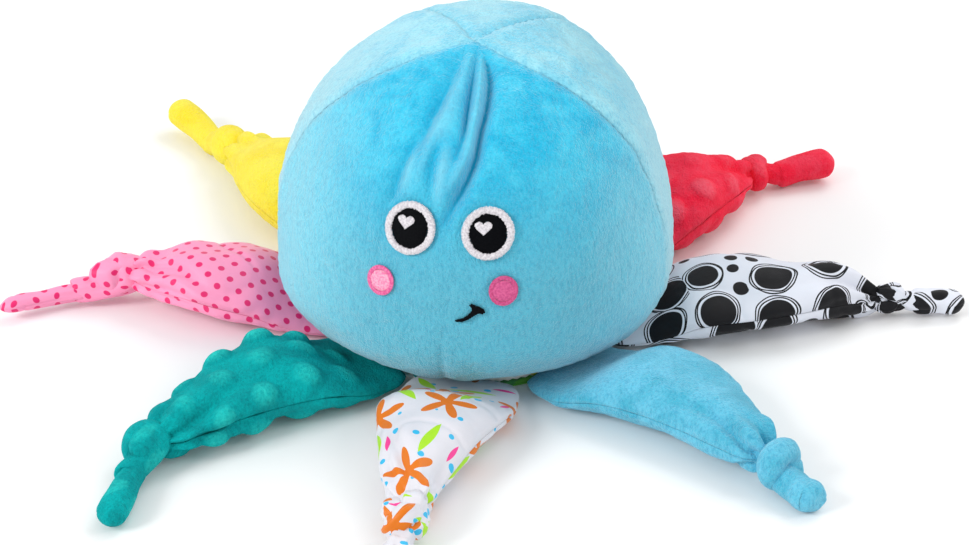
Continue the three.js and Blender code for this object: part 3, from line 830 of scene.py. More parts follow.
# %% [markdown]
# ## The head's seams and gathers
# A seam in plush is a narrow valley: the nap closes over it, and each stitch pulls a small dimple. Above the
# eyes the face panel is gathered where it meets the pole, and the spare cloth runs down the forehead in
# folds. Each fold is a line on the head, and the cloth sinks along it and swells beside it.

# %% Folds of the forehead
# Each fold has its angle from the front in degrees and its height in millimetres at points along it, then
# its depth and its width in millimetres. Ridges are the same but rise. The dart is a short tuck under the
# smile, where the panel narrows
FOLDS = (
    (((-5, 125), (-9, 120), (-11, 115), (-13.2, 110), (-14.4, 105), (-15, 99)), 3.0, 3.6),
    (((5, 125), (3.6, 119), (2.6, 112), (2.2, 106), (0.6, 100)), 4.2, 1.8),
    (((11, 126), (14, 120), (12, 113.5), (9, 107.5), (7.2, 100), (4.4, 93), (1.2, 86.5), (-1.4, 80)),
     5.6, 2.1),
    (((-17, 103), (-18.4, 97), (-19, 91), (-19.4, 84)), 2.0, 2.4),
    (((-7.4, 103), (-8, 97), (-7.6, 91), (-7, 85)), 1.7, 2.2),
)
RIDGES = (
    (((9.5, 125), (8.6, 119), (6.8, 112), (5, 105), (3.2, 98.5), (-2.4, 90)), 2.8, 2.6),
    (((1, 125), (-2, 120), (-6, 114), (-9, 107), (-11, 100), (-12.6, 93)), 2.6, 3.8),
    (((-14.4, 103), (-15.6, 96), (-16, 88)), 1.3, 2.4),
    (((-4, 102), (-4.4, 95), (-4.4, 87)), 1.4, 2.6),
)
DART = (((-1, 38), (-1, 30), (-1, 22), (-1, 12)), 1.1, 1.4)
LINE_STOPS = 60
JUST_BELOW_TOP = 0.9999
# How far into a half wave a fold starts and ends, and how sharply it fades there
FOLD_ENDS = (0.25, math.pi - 0.15)
FOLD_FADE = 0.6


def line_on_head(places):
    """Close points along a line on the head, from a few angles and heights."""
    places = np.array(places, float)
    shares = np.linspace(0, len(places) - 1, LINE_STOPS)
    angle = np.radians(smooth_through(np.arange(len(places)), places[:, 0], shares))
    height = smooth_through(np.arange(len(places)), places[:, 1], shares) * MM
    radius = head_radius_at(np.minimum(height, EQUATOR + CROWN_HEIGHT * JUST_BELOW_TOP))
    return np.stack([radius * np.sin(angle), -radius * np.cos(angle), height], axis=1)


def fold_share(points, places, width):
    """How strongly a fold acts at each point: 1 on its line, fading aside and at both its ends."""
    line = line_on_head(places)
    strength = np.zeros(points.shape[:-1])
    fade = np.sin(np.linspace(*FOLD_ENDS, len(line))) ** FOLD_FADE
    for place, power in zip(line, fade):
        apart = ((points - place) ** 2).sum(axis=-1)
        strength = np.maximum(strength, power * np.exp(-(apart / (width * MM) ** 2) ** 0.75))
    return strength


print("folds and ridges of the forehead:", len(FOLDS), "and", len(RIDGES))

# %% Seams and nap
SEAM_DEPTH = 0.6 * MM
SEAM_WIDTH = 1.1 * MM
SEAM_SWELL = 0.5 * MM
SWELL_AT = 4 * MM
SWELL_WIDTH = 3 * MM
PUCKER_DEPTH = 0.2 * MM
STITCH_PITCH = 3.2 * MM
# Heights and sizes in millimetres of the lumps of stuffing, of the nap's patches and of its tufts
NAP_LUMPS = ((0.55, 26), (0.16, 7), (0.11, 2.6))


def reach_along(path):
    """How far along a path each of its points lies."""
    return np.concatenate([[0], np.cumsum(np.linalg.norm(np.diff(path, axis=0), axis=1))])


def from_side_seams(points):
    """Each point's distance over the cloth to the nearer of its panel's two side edges."""
    steps = np.linalg.norm(np.diff(points, axis=1), axis=2)
    from_first = np.concatenate([np.zeros((len(points), 1)), np.cumsum(steps, axis=1)], axis=1)
    return np.minimum(from_first, from_first[:, -1:] - from_first)


def seam_relief(points):
    """The valley, swelling and stitch dimples along a panel's two side edges."""
    from_edge = from_side_seams(points)
    along = reach_along(points[:, 0])[:, None]
    dimple = 0.5 + 0.5 * np.cos(math.tau * along / STITCH_PITCH)
    valley = -SEAM_DEPTH * (0.8 + 0.35 * dimple) * np.exp(-(from_edge / SEAM_WIDTH) ** 2)
    swell = SEAM_SWELL * np.exp(-((from_edge - SWELL_AT) / SWELL_WIDTH) ** 2)
    pucker = -PUCKER_DEPTH * dimple * np.exp(-(from_edge / SWELL_WIDTH) ** 2)
    return valley + swell + pucker


def nap_relief(points, seed):
    """Stuffing lumps under the cloth and tufts of the nap on it."""
    return sum(height * MM * cloudy(points, size * MM, seed + order)
               for order, (height, size) in enumerate(NAP_LUMPS))


print("seam stitches to a centimetre:", round(10 * MM / STITCH_PITCH, 1))

# %% [markdown]
# ## The face
# The eyes, cheeks and mouth are machine embroidery, so the plush is pressed flat under them. Their places
# are measured round the head from the middle of the face.

# %% Places of the face
EYE_SPREAD = 27.4 * MM
EYE_HEIGHT = 77 * MM
EYE_WIDTH = 18.6 * MM
EYE_TALL = 19 * MM
PUPIL_WIDTH = 13.4 * MM
PUPIL_TALL = 14.2 * MM
HEART_WIDTH = 5.4 * MM
HEART_SHIFT = -1.6 * MM
HEART_RISE = 2.2 * MM
CHEEK_SPREAD = 44 * MM
CHEEK_SHIFT = -1.9 * MM
CHEEK_HEIGHT = 56.9 * MM
CHEEK_WIDTH = 10.4 * MM
CHEEK_TALL = 11.3 * MM
SMILE_WIDTH = 10 * MM
SMILE_SHIFT = 8.9 * MM
SMILE_HEIGHT = 49 * MM
PRESS_DEPTH = 0.25 * MM
PRESS_RIM = 0.3 * MM
PRESS_FADE = 1.3

FACE_PLACES = (
    (-EYE_SPREAD / 2, EYE_HEIGHT, EYE_WIDTH, EYE_TALL),
    (EYE_SPREAD / 2, EYE_HEIGHT, EYE_WIDTH, EYE_TALL),
    (CHEEK_SHIFT - CHEEK_SPREAD / 2, CHEEK_HEIGHT, CHEEK_WIDTH, CHEEK_TALL),
    (CHEEK_SHIFT + CHEEK_SPREAD / 2, CHEEK_HEIGHT, CHEEK_WIDTH, CHEEK_TALL),
    (SMILE_SHIFT, SMILE_HEIGHT, SMILE_WIDTH, SMILE_WIDTH * 0.7),
)
print("embroidered places on the face:", len(FACE_PLACES))


# %% On the face
def head_lean_at(height):
    """How fast the head widens with height."""
    step = 0.1 * MM
    return (head_radius_at(height + step) - head_radius_at(height - step)) / (2 * step)


def rise_share_at(height):
    """How much of a step up the cloth is a rise, at a height of the head."""
    return 1 / np.hypot(1, head_lean_at(height))


def pressed_share(points):
    """1 under the embroidery and just round it, and 0 on free plush."""
    share = np.zeros(points.shape[:-1])
    angle = np.arctan2(points[..., 0], -points[..., 1])
    for along, height, width, tall in FACE_PLACES:
        radius = head_radius_at(height)
        across = (angle - along / radius) * radius
        up = (points[..., 2] - height) / rise_share_at(height)
        reach = np.hypot(across / (width / 2 + PRESS_RIM), up / (tall / 2 + PRESS_RIM))
        share = np.maximum(share, 1 - smooth_step(1.0, PRESS_FADE, reach))
    return share


def on_face(across, up, lift, along, height):
    """Places on the face from millimetres across and up the cloth round a middle, and a height above it."""
    z = height + up * rise_share_at(height)
    radius = head_radius_at(z)
    angle = along / head_radius_at(height) + across / radius
    share = rise_share_at(z)
    outward = radius + lift * share
    lowered = z - head_lean_at(z) * lift * share
    return np.stack([outward * np.sin(angle), -outward * np.cos(angle), lowered], axis=-1)


print("at the eyes", round(float(rise_share_at(EYE_HEIGHT)), 2), "of a step up the cloth is a rise")

# %% [markdown]
# ## The head's panels
# The four panels are cut between the seams, and each gets its relief: stuffing and nap everywhere, folds and
# ridges on the face, and the valleys of the seams along both sides. The folds are also stored in the mesh,
# so that the material paints shade into the creases and light onto the ridges. Last, the sheet gets its
# thickness on the inside.

# %% Head panels
HEAD_ROWS = 190
HEAD_SEED = 3
BACK_SEAM = math.radians(139)
PANEL_WALL = 1.2 * MM
FOLDS_CLEAR = (0.5 * MM, 8 * MM)
DEEPEST_FOLD = 6
HEAD_PANELS = (
    ("head_face_panel", partial(front_seam, side=-1), front_seam, 225),
    ("head_left_panel", front_seam, straight_seam(BACK_SEAM), 88),
    ("head_right_panel", straight_seam(-BACK_SEAM), partial(front_seam, side=-1), 88),
    ("head_back_panel", straight_seam(BACK_SEAM), straight_seam(math.tau - BACK_SEAM), 118),
)


def head_panel(node, from_seam, to_seam, columns):
    """One panel of the head, from the pole down to the base band."""
    points = head_surface(from_seam, to_seam, columns, HEAD_ROWS)
    relief = nap_relief(points, HEAD_SEED)
    fold = np.zeros(relief.shape)
    clear = smooth_step(*FOLDS_CLEAR, from_side_seams(points))
    if node == "head_face_panel":
        # fold is positive on ridges and negative in creases, for painted light and painted shade
        for places, rise, width in RIDGES:
            share = clear * fold_share(points, places, width)
            relief += rise * MM * share
            fold = np.maximum(fold, share)
        for places, depth, width in FOLDS:
            share = clear * fold_share(points, places, width)
            relief -= depth * MM * share
            fold = fold * (1 - share) - share * min(depth / DEEPEST_FOLD, 1)
        places, depth, width = DART
        relief -= depth * MM * fold_share(points, places, width)
        pressed = pressed_share(points)
        relief = relief * (1 - pressed) - PRESS_DEPTH * pressed
    relief += seam_relief(points)
    panel = sew_grid(node + "_cloth", settled(raised(points, relief)), fold=fold)
    thicken(panel, PANEL_WALL)
    cloth = head_plush if node == "head_face_panel" else crown_plush_painted_lighter
    dress(panel, cloth, node)
    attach(panel, "head")


for entry in HEAD_PANELS:
    head_panel(*entry)
print("head panels:", len(HEAD_PANELS))

# %% [markdown]
# ## Embroidery
# Satin stitch is made of threads that lie side by side and cross the whole shape, so an eye's ring is a
# sunburst of short threads and a pupil is a stack of rows. One thread is modelled, an Array modifier copies
# it, and each copy is laid along its own stitch. Real thread is about 0.4 mm wide. It is drawn half as wide
# again, so that single threads show. It is glossy polyester, so it catches the light in short streaks, which
# are painted into its colour as paler glints.

# %% Thread
STRAND_AND_GLINT_SIZE = 0.7 * MM
GLINT_FADE = (0.36, 0.62)


def thread(name, base, glint_tint, sheen=0.2, shine=0.35):
    """Shiny polyester embroidery thread, with a fine twist that is too small to model, and painted glints.
    """
    yarn = new_material(name)
    place = add_node(yarn, "ShaderNodeTexCoord").outputs["Object"]
    strands = add_node(yarn, "ShaderNodeTexNoise", {"Vector": place, "Scale": 1 / STRAND_AND_GLINT_SIZE, "Detail": 2})
    # Painted glints: paler streaks where the thread would catch the light
    painted_glint = add_node(yarn, "ShaderNodeMapRange", {"Value": strands, "From Min": GLINT_FADE[0],
                                                     "From Max": GLINT_FADE[1]})
    tone = add_node(yarn, "ShaderNodeMix", {"Factor": painted_glint, "A": linear(base), "B": linear(glint_tint)},
                    data_type="RGBA")
    bump = add_node(yarn, "ShaderNodeBump", {"Strength": 0.5, "Distance": 0.3 * MM, "Height": strands})
    set_finish(yarn, Base_Color=tone, Normal=bump, Roughness=0.5, Specular_IOR_Level=shine,
               Sheen_Weight=sheen)
    return yarn


white_thread = thread("white_thread", "#cbc6cc", "#ebe7eb")
black_thread = thread("black_thread", "#010206", "#06070c", sheen=0, shine=0.08)
pink_thread = thread("pink_thread", "#ff7fb0", "#ffc0d6")
rose_thread = thread("rose_thread", "#d9508e", "#f07cae")
raspberry_thread = thread("raspberry_thread", "#c23a77", "#d85c94")
deep_rose_thread = thread("deep_rose_thread", "#ce4a88", "#e46aa0")
print("threads:", [yarn.name for yarn in (white_thread, black_thread, pink_thread, rose_thread)])

# %% Outlines
HEART_WAVES = (0.406, -0.156, -0.0625, -0.031)


def oval(width, tall, points=72):
    """Outline of an oval about its middle."""
    turn = np.linspace(0, math.tau, points, endpoint=False)
    return np.stack([width / 2 * np.cos(turn), tall / 2 * np.sin(turn)], axis=1)


def heart(width, across, up, points=60):
    """Outline of a heart: its sides and its rise are sums of waves."""
    turn = np.linspace(0, math.tau, points, endpoint=False)
    rise = sum(share * np.cos((wave + 1) * turn) for wave, share in enumerate(HEART_WAVES))
    return np.stack([across + width / 2 * np.sin(turn) ** 3, up + width * rise], axis=1)


print("a heart is a sum of", len(HEART_WAVES), "waves")

# %% Stitches
INNER_UNEVEN = 0.06
OUTER_UNEVEN = 0.012


def rows_across(loops, pitch, slant):
    """Threads side by side that fill an outline and leave its holes open."""
    cosine, sine = math.cos(math.radians(slant)), math.sin(math.radians(slant))
    turn = np.array([[cosine, sine], [-sine, cosine]])
    loops = [loop @ turn.T for loop in loops]
    strokes = []
    for level in np.arange(loops[0][:, 1].min() + pitch / 2, loops[0][:, 1].max(), pitch):
        crossings = []
        for loop in loops:
            after = np.roll(loop, -1, axis=0)
            cut = (loop[:, 1] <= level) != (after[:, 1] <= level)
            share = (level - loop[cut, 1]) / (after[cut, 1] - loop[cut, 1])
            crossings.extend(loop[cut, 0] + share * (after[cut, 0] - loop[cut, 0]))
        crossings.sort()
        for start, end in zip(crossings[::2], crossings[1::2]):
            strokes.append(np.array([[start, level], [end, level]]) @ turn)
    return strokes


def rays(inner, outer, count, seed):
    """Threads that cross a ring from its inner edge to its outer edge, a little uneven at both."""
    draw = np.random.default_rng(seed)
    strokes = []
    for turn in np.linspace(0, math.tau, count, endpoint=False):
        direction = np.array([math.cos(turn), math.sin(turn)])
        ends = [direction * size / 2 for size in (inner, outer)]
        ends[0] = ends[0] * (1 - draw.uniform(0, INNER_UNEVEN))
        ends[1] = ends[1] * (1 + draw.uniform(-OUTER_UNEVEN, OUTER_UNEVEN))
        strokes.append(np.array(ends))
    return strokes


print("rows across a 10 mm circle:", len(rows_across([oval(10 * MM, 10 * MM)], 0.5 * MM, 0)))

# %% Laying the threads
THREAD_SIDES = 6
THREAD_RINGS = 9
THREAD_HALF_WIDTH = 0.29 * MM
THREAD_HALF_HEIGHT = 0.36 * MM
THREAD_ARCH = 0.55 * MM
THREAD_BLUNT = 6


def embroider(name, strokes, along, height, lift, tones, node, tone_of=None, arched=False):
    """Lays one thread along each stitch and joins them into one piece."""
    bpy.ops.object.select_all(action="DESELECT")
    bpy.ops.mesh.primitive_uv_sphere_add(segments=THREAD_SIDES, ring_count=THREAD_RINGS, radius=1)
    piece = bpy.context.object
    piece.name = piece.data.name = name
    copies = piece.modifiers.new("copies", "ARRAY")
    copies.count = len(strokes)
    bpy.ops.object.modifier_apply(modifier="copies")
    mesh = piece.data
    flat = np.empty(len(mesh.vertices) * 3)
    mesh.vertices.foreach_get("co", flat)
    one = flat.reshape(len(strokes), -1, 3)[0]
    lengthwise, sideways, upward = one[:, 2], one[:, 0], one[:, 1]
    body = np.sqrt(np.clip(1 - np.abs(lengthwise) ** THREAD_BLUNT, 0, 1))
    round_body = np.sqrt(np.clip(1 - lengthwise ** 2, 1e-9, 1))
    arch = THREAD_ARCH * (1 - lengthwise ** 2) if arched else 0
    placed = []
    for start, end in strokes:
        direction = (end - start) / max(np.linalg.norm(end - start), 1e-9)
        aside = np.array([-direction[1], direction[0]])
        flat_place = (start + end) / 2 + np.outer(lengthwise, (end - start) / 2)
        flat_place = flat_place + np.outer(sideways / round_body * body * THREAD_HALF_WIDTH, aside)
        rise = lift + upward / round_body * body * THREAD_HALF_HEIGHT + arch
        placed.append(on_face(flat_place[:, 0], flat_place[:, 1], rise, along, height))
    mesh.vertices.foreach_set("co", settled(np.concatenate(placed)).ravel())
    for tone in tones:
        mesh.materials.append(tone)
    if tone_of is not None:
        per_thread = len(mesh.polygons) // len(strokes)
        mesh.polygons.foreach_set("material_index", np.repeat(tone_of, per_thread))
    mesh.update()
    bpy.ops.object.shade_smooth()
    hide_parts(node)
    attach(piece, "head")


print("a thread is", round(2 * THREAD_HALF_WIDTH / MM, 2), "mm wide")

# %% [markdown]
# ## The eyes
# Each eye is a stack: black rows for the pupil with a hole where the heart will be, the white heart across
# that hole, and a ring of arched white threads that covers the pupil's edge.

# %% Eyes
RING_STITCHES = 104
FILL_PITCH = 0.42 * MM
PUPIL_LIFT = 0.55 * MM
RING_LIFT = 0.7 * MM
PUPIL_TUCK = 0.6 * MM
HEART_TUCK = 0.5 * MM
PUPIL_SLANT = 8
HEART_SLANT = 78
EYE_SEED = 40

for side, direction in (("left", 1), ("right", -1)):
    place = direction * EYE_SPREAD / 2
    ring = rays(np.array([PUPIL_WIDTH, PUPIL_TALL]), np.array([EYE_WIDTH, EYE_TALL]), RING_STITCHES,
                EYE_SEED + direction)
    embroider("eye_ring_" + side + "_thread", ring, place, EYE_HEIGHT, RING_LIFT, [white_thread],
              "eye_ring_" + side, arched=True)
    heart_edge = heart(HEART_WIDTH, HEART_SHIFT, HEART_RISE)
    pupil_edge = oval(PUPIL_WIDTH + PUPIL_TUCK, PUPIL_TALL + PUPIL_TUCK)
    filling = rows_across([pupil_edge, heart_edge], FILL_PITCH, PUPIL_SLANT)
    embroider("pupil_" + side + "_thread", filling, place, EYE_HEIGHT, PUPIL_LIFT, [black_thread],
              "pupil_" + side)
    shine = rows_across([heart(HEART_WIDTH + HEART_TUCK, HEART_SHIFT, HEART_RISE)], FILL_PITCH, HEART_SLANT)
    embroider("eye_heart_" + side + "_thread", shine, place, EYE_HEIGHT, RING_LIFT, [white_thread],
              "eye_heart_" + side)
    print(side, "eye:", len(ring) + len(filling) + len(shine), "threads")

# %% [markdown]
# ## Cheeks and smile
# A cheek is rows of pale thread inside a border of deeper thread. The cheek on the toy's left is the deeper
# of the two. The smile is one outline filled with slanting rows.

# %% Cheeks and smile
CHEEK_BORDER = 1.5 * MM
CHEEK_STITCHES = 96
CHEEK_SLANT = 84
CHEEK_SEED = 50
SMILE_PITCH = 0.36 * MM
SMILE_SLANT = 62
# The smile's outline, in shares of its width
SMILE_SHARES = (
    (-0.5, -0.36), (-0.3, -0.36), (-0.08, -0.27), (0.12, -0.12), (0.28, -0.02), (0.4, -0.06), (0.5, 0.02),
    (0.46, 0.14), (0.3, 0.25), (0.1, 0.32), (0.02, 0.36), (-0.04, 0.28), (0.04, 0.16), (0.04, 0.06),
    (-0.08, -0.07), (-0.26, -0.21), (-0.46, -0.27), (-0.53, -0.32),
)

for side, direction, border_tone, middle_tone in (
        ("right", -1, rose_thread, pink_thread), ("left", 1, raspberry_thread, deep_rose_thread)):
    inner = np.array([CHEEK_WIDTH - 2 * CHEEK_BORDER, CHEEK_TALL - 2 * CHEEK_BORDER])
    border = rays(inner, np.array([CHEEK_WIDTH, CHEEK_TALL]), CHEEK_STITCHES, CHEEK_SEED + direction)
    middle = rows_across([oval(inner[0], inner[1])], FILL_PITCH, CHEEK_SLANT)
    tones = [0] * len(border) + [1] * len(middle)
    place = CHEEK_SHIFT + direction * CHEEK_SPREAD / 2
    embroider("cheek_" + side + "_thread", border + middle, place, CHEEK_HEIGHT, PUPIL_LIFT,
              [border_tone, middle_tone], "cheek_" + side, tones)
    print(side, "cheek:", len(tones), "threads")

smile = rows_across([np.array(SMILE_SHARES) * SMILE_WIDTH], SMILE_PITCH, SMILE_SLANT)
embroider("smile_thread", smile, SMILE_SHIFT, SMILE_HEIGHT, PUPIL_LIFT, [black_thread], "smile")
print("smile:", len(smile), "threads")

# %% [markdown]
# ## Stuffing
# Loose polyester fill holds the head and the legs in shape: crimped white fibres, teased into a matt cloud
# of wisps. None of it shows, but the toy is built whole, so it is there: the cloth's own shape, moved
# inwards and made lumpy.

# %% Stuffing material
FILL_WISP = 4 * MM


def fill_material():
    """White wisps without any gloss."""
    fill = new_material("stuffing")
    place = add_node(fill, "ShaderNodeTexCoord").outputs["Object"]
    wisps = add_node(fill, "ShaderNodeTexNoise", {"Vector": place, "Scale": 1 / FILL_WISP, "Detail": 5})
    tone = add_node(fill, "ShaderNodeMix", {"Factor": wisps, "A": linear("#dfe0dc"), "B": linear("#fbfbf8")},
                    data_type="RGBA")
    bump = add_node(fill, "ShaderNodeBump", {"Strength": 0.6, "Distance": 1 * MM, "Height": wisps})
    set_finish(fill, Base_Color=tone, Normal=bump, Roughness=1, Sheen_Weight=0.3)
    return fill


stuffing = fill_material()
print("stuffing:", stuffing.name)

# %% Stuffing of the head
FILL_GAP = 9 * MM
FILL_LUMP = 18 * MM
FILL_LUMP_HEIGHT = 0.5 * MM
FILL_SEED = 71
FILL_COLUMNS = 97
FILL_ROWS = 80


def with_tips(points):
    """Closes a tube's two ends by drawing an extra row to the middle of each."""
    first = np.broadcast_to(points[0].mean(axis=0), points[0].shape)
    last = np.broadcast_to(points[-1].mean(axis=0), points[-1].shape)
    return np.concatenate([first[None], points, last[None]])


full_turn = head_surface(straight_seam(0), straight_seam(math.tau), FILL_COLUMNS, FILL_ROWS)
core = joined(full_turn - facing_out(full_turn) * FILL_GAP)
core = joined(raised(core, FILL_LUMP_HEIGHT * cloudy(core, FILL_LUMP, FILL_SEED), closed=True))
fill_piece = sew_grid("head_stuffing_fill", with_tips(settled(core)), closed=True)
dress(fill_piece, stuffing, "head_stuffing")
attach(fill_piece, "head")
print("the head's fill starts", round(FILL_GAP / MM), "mm under its cloth")

# %% [markdown]
# ## The base
# A round panel closes the toy underneath, and a narrow band of the printed cloths joins it to the head. The
# legs are caught in that band. It is patchwork, so its colour changes from piece to piece along it. Both
# pieces are a profile carried round the axis, which keeps their rims exactly round.

# %% Patchwork cloth
PATCH_LENGTH = 17
PATCH_STRAY = 0.9
PATCH_INKS = ("#e8edea", "#4d9e5c", "#b5223f", "#0f9a9c", "#e9e23f", "#d8468f", "#f0f2f0", "#63b646")


def patch_print():
    """Patches of plain colours, each as wide as its random cell."""
    cloth, place = satin("band_print", rough=0.6)
    field = add_node(cloth, "ShaderNodeTexVoronoi", {"Vector": place, "Scale": 1 / PATCH_LENGTH,
                                                     "Randomness": PATCH_STRAY}, voronoi_dimensions="2D")
    chance = add_node(cloth, "ShaderNodeSeparateColor", {"Color": field.outputs["Color"]})
    ramp = add_node(cloth, "ShaderNodeValToRGB", {"Fac": chance.outputs["Red"]})
    ramp.color_ramp.interpolation = "CONSTANT"
    stops = ramp.color_ramp.elements
    for index, ink in enumerate(PATCH_INKS):
        stop = stops[index] if index < 2 else stops.new(index / len(PATCH_INKS))
        stop.position = index / len(PATCH_INKS)
        stop.color = linear(ink)
    set_finish(cloth, Base_Color=ramp.outputs["Color"])
    return cloth


band_print = patch_print()
print("patches of", len(PATCH_INKS), "colours, about", PATCH_LENGTH, "mm long")

# %% Base band
BAND_CORE = BAND_RADIUS - 1.3 * MM
BAND_ROLL = 2.4 * MM
BAND_COLUMNS = 361
BAND_ROWS = 25
BAND_PLEATS = 90
BAND_PLEAT_HEIGHT = 0.25 * MM


def ring_surface(profile, columns, rows):
    """A closed profile of [radius, height] points carried round the axis."""
    profile = np.array(profile, float)
    places = np.arange(len(profile))
    fine = smooth_through(places, profile, np.linspace(0, len(profile) - 1, rows))
    turn = np.linspace(0, math.tau, columns)[None, :]
    radius = fine[:, 0][:, None]
    height = np.broadcast_to(fine[:, 1][:, None], (rows, columns))
    return np.stack([radius * np.cos(turn), radius * np.sin(turn), height], axis=2)


band_low, band_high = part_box("base_band")[0][2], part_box("base_band")[1][2]
band_middle = (band_low + band_high) / 2
band_half = (band_high - band_low) / 2
band_profile = [[BAND_CORE + BAND_ROLL * math.cos(turn), band_middle + band_half * math.sin(turn)]
                for turn in np.linspace(0, math.tau, 13)]
band_points = ring_surface(band_profile, BAND_COLUMNS, BAND_ROWS)
band_points[-1] = band_points[0]
pleats = BAND_PLEAT_HEIGHT * np.sin(np.linspace(0, math.tau * BAND_PLEATS, BAND_COLUMNS))
away = band_points - ring_surface([[BAND_CORE, band_middle]] * 2, BAND_COLUMNS, 1)
band_points = band_points + away / np.linalg.norm(away, axis=2, keepdims=True) * pleats[:, None]
band = sew_grid("base_band_cloth", band_points, closed=True)
dress(band, band_print, "base_band")
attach(band, "head")
print("base band:", round(2 * band_half / MM, 1), "mm high, with", BAND_PLEATS, "small pleats")

# %% Base panel
RIM_RADIUS = BAND_RADIUS - 0.7 * MM
RIM_ROLL = 0.7 * MM
RIM_FLAT = 0.4 * MM
BASE_HOLE = 0.2 * MM
BASE_COLUMNS = 145
BASE_ROWS = 60

base_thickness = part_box("base_panel")[1][2]
base_profile = [
    [BASE_HOLE, 0],
    [RIM_RADIUS / 2, 0],
    [RIM_RADIUS - RIM_FLAT, 0.02 * MM],
    [RIM_RADIUS + RIM_ROLL, base_thickness / 2],
    [RIM_RADIUS - RIM_FLAT, base_thickness * 0.97],
    [RIM_RADIUS / 2, base_thickness],
    [BASE_HOLE, base_thickness],
]
base_points = rest_on_floor(ring_surface(base_profile, BASE_COLUMNS, BASE_ROWS))
base_points[..., 2] = np.minimum(base_points[..., 2], base_thickness)
base = sew_grid("base_panel_cloth", with_tips(base_points), closed=True)
dress(base, band_print, "base_panel")
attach(base, "head")
print("base panel:", round(2 * (RIM_RADIUS + RIM_ROLL) / MM, 1), "mm across")

# %% [markdown]
# ## Legs
# A leg is two long panels sewn along both sides and stuffed. It is flat where the head sits on it, swells
# beyond the head, and is drawn together at its neck, where all its spare cloth runs into the knot as pleats.
# The frame's joints say where each leg starts, which way it points and where its tail hangs. Its shape
# follows from its width, crown and belly at a few stations, so that one pattern serves all eight.

# %% Sizes of the legs
LEG_HALF_WIDTH = 23 * MM
LEG_CROWN = 18.9 * MM
LEG_BELLY = 3.2 * MM
LEAST_BULGE = 0.2 * MM
MOUTH_LENGTH = 3 * MM
MOUTH_HALF_HEIGHT = 1.7 * MM
MOUTH_HALF_WIDTH = 17.5 * MM
COVERED_LENGTH = 31 * MM
LEG_LENGTH = 100 * MM
NECK_HALF_WIDTH = 5.8 * MM
NECK_HALF_HEIGHT = 5 * MM
NECK_CLOTH = 1.3 * MM
NECK_TUCK = 3.2 * MM
NECK_TUCKED = 0.62
KNOT_RADIUS = 10 * MM
KNOT_CORE = 8.6 * MM
TAIL_ROOT_RADIUS = 5.6 * MM
TAIL_HALF_WIDTH = 6.3 * MM
TAIL_HALF_HEIGHT = 5.8 * MM
TAIL_LENGTH = 40 * MM
LEG_WALL = 0.7 * MM
LEG_ROWS = 118
LEG_COLUMNS = 71
print("a leg is up to", round(2 * LEG_HALF_WIDTH / MM), "mm wide and", round(LEG_LENGTH / MM), "mm long")

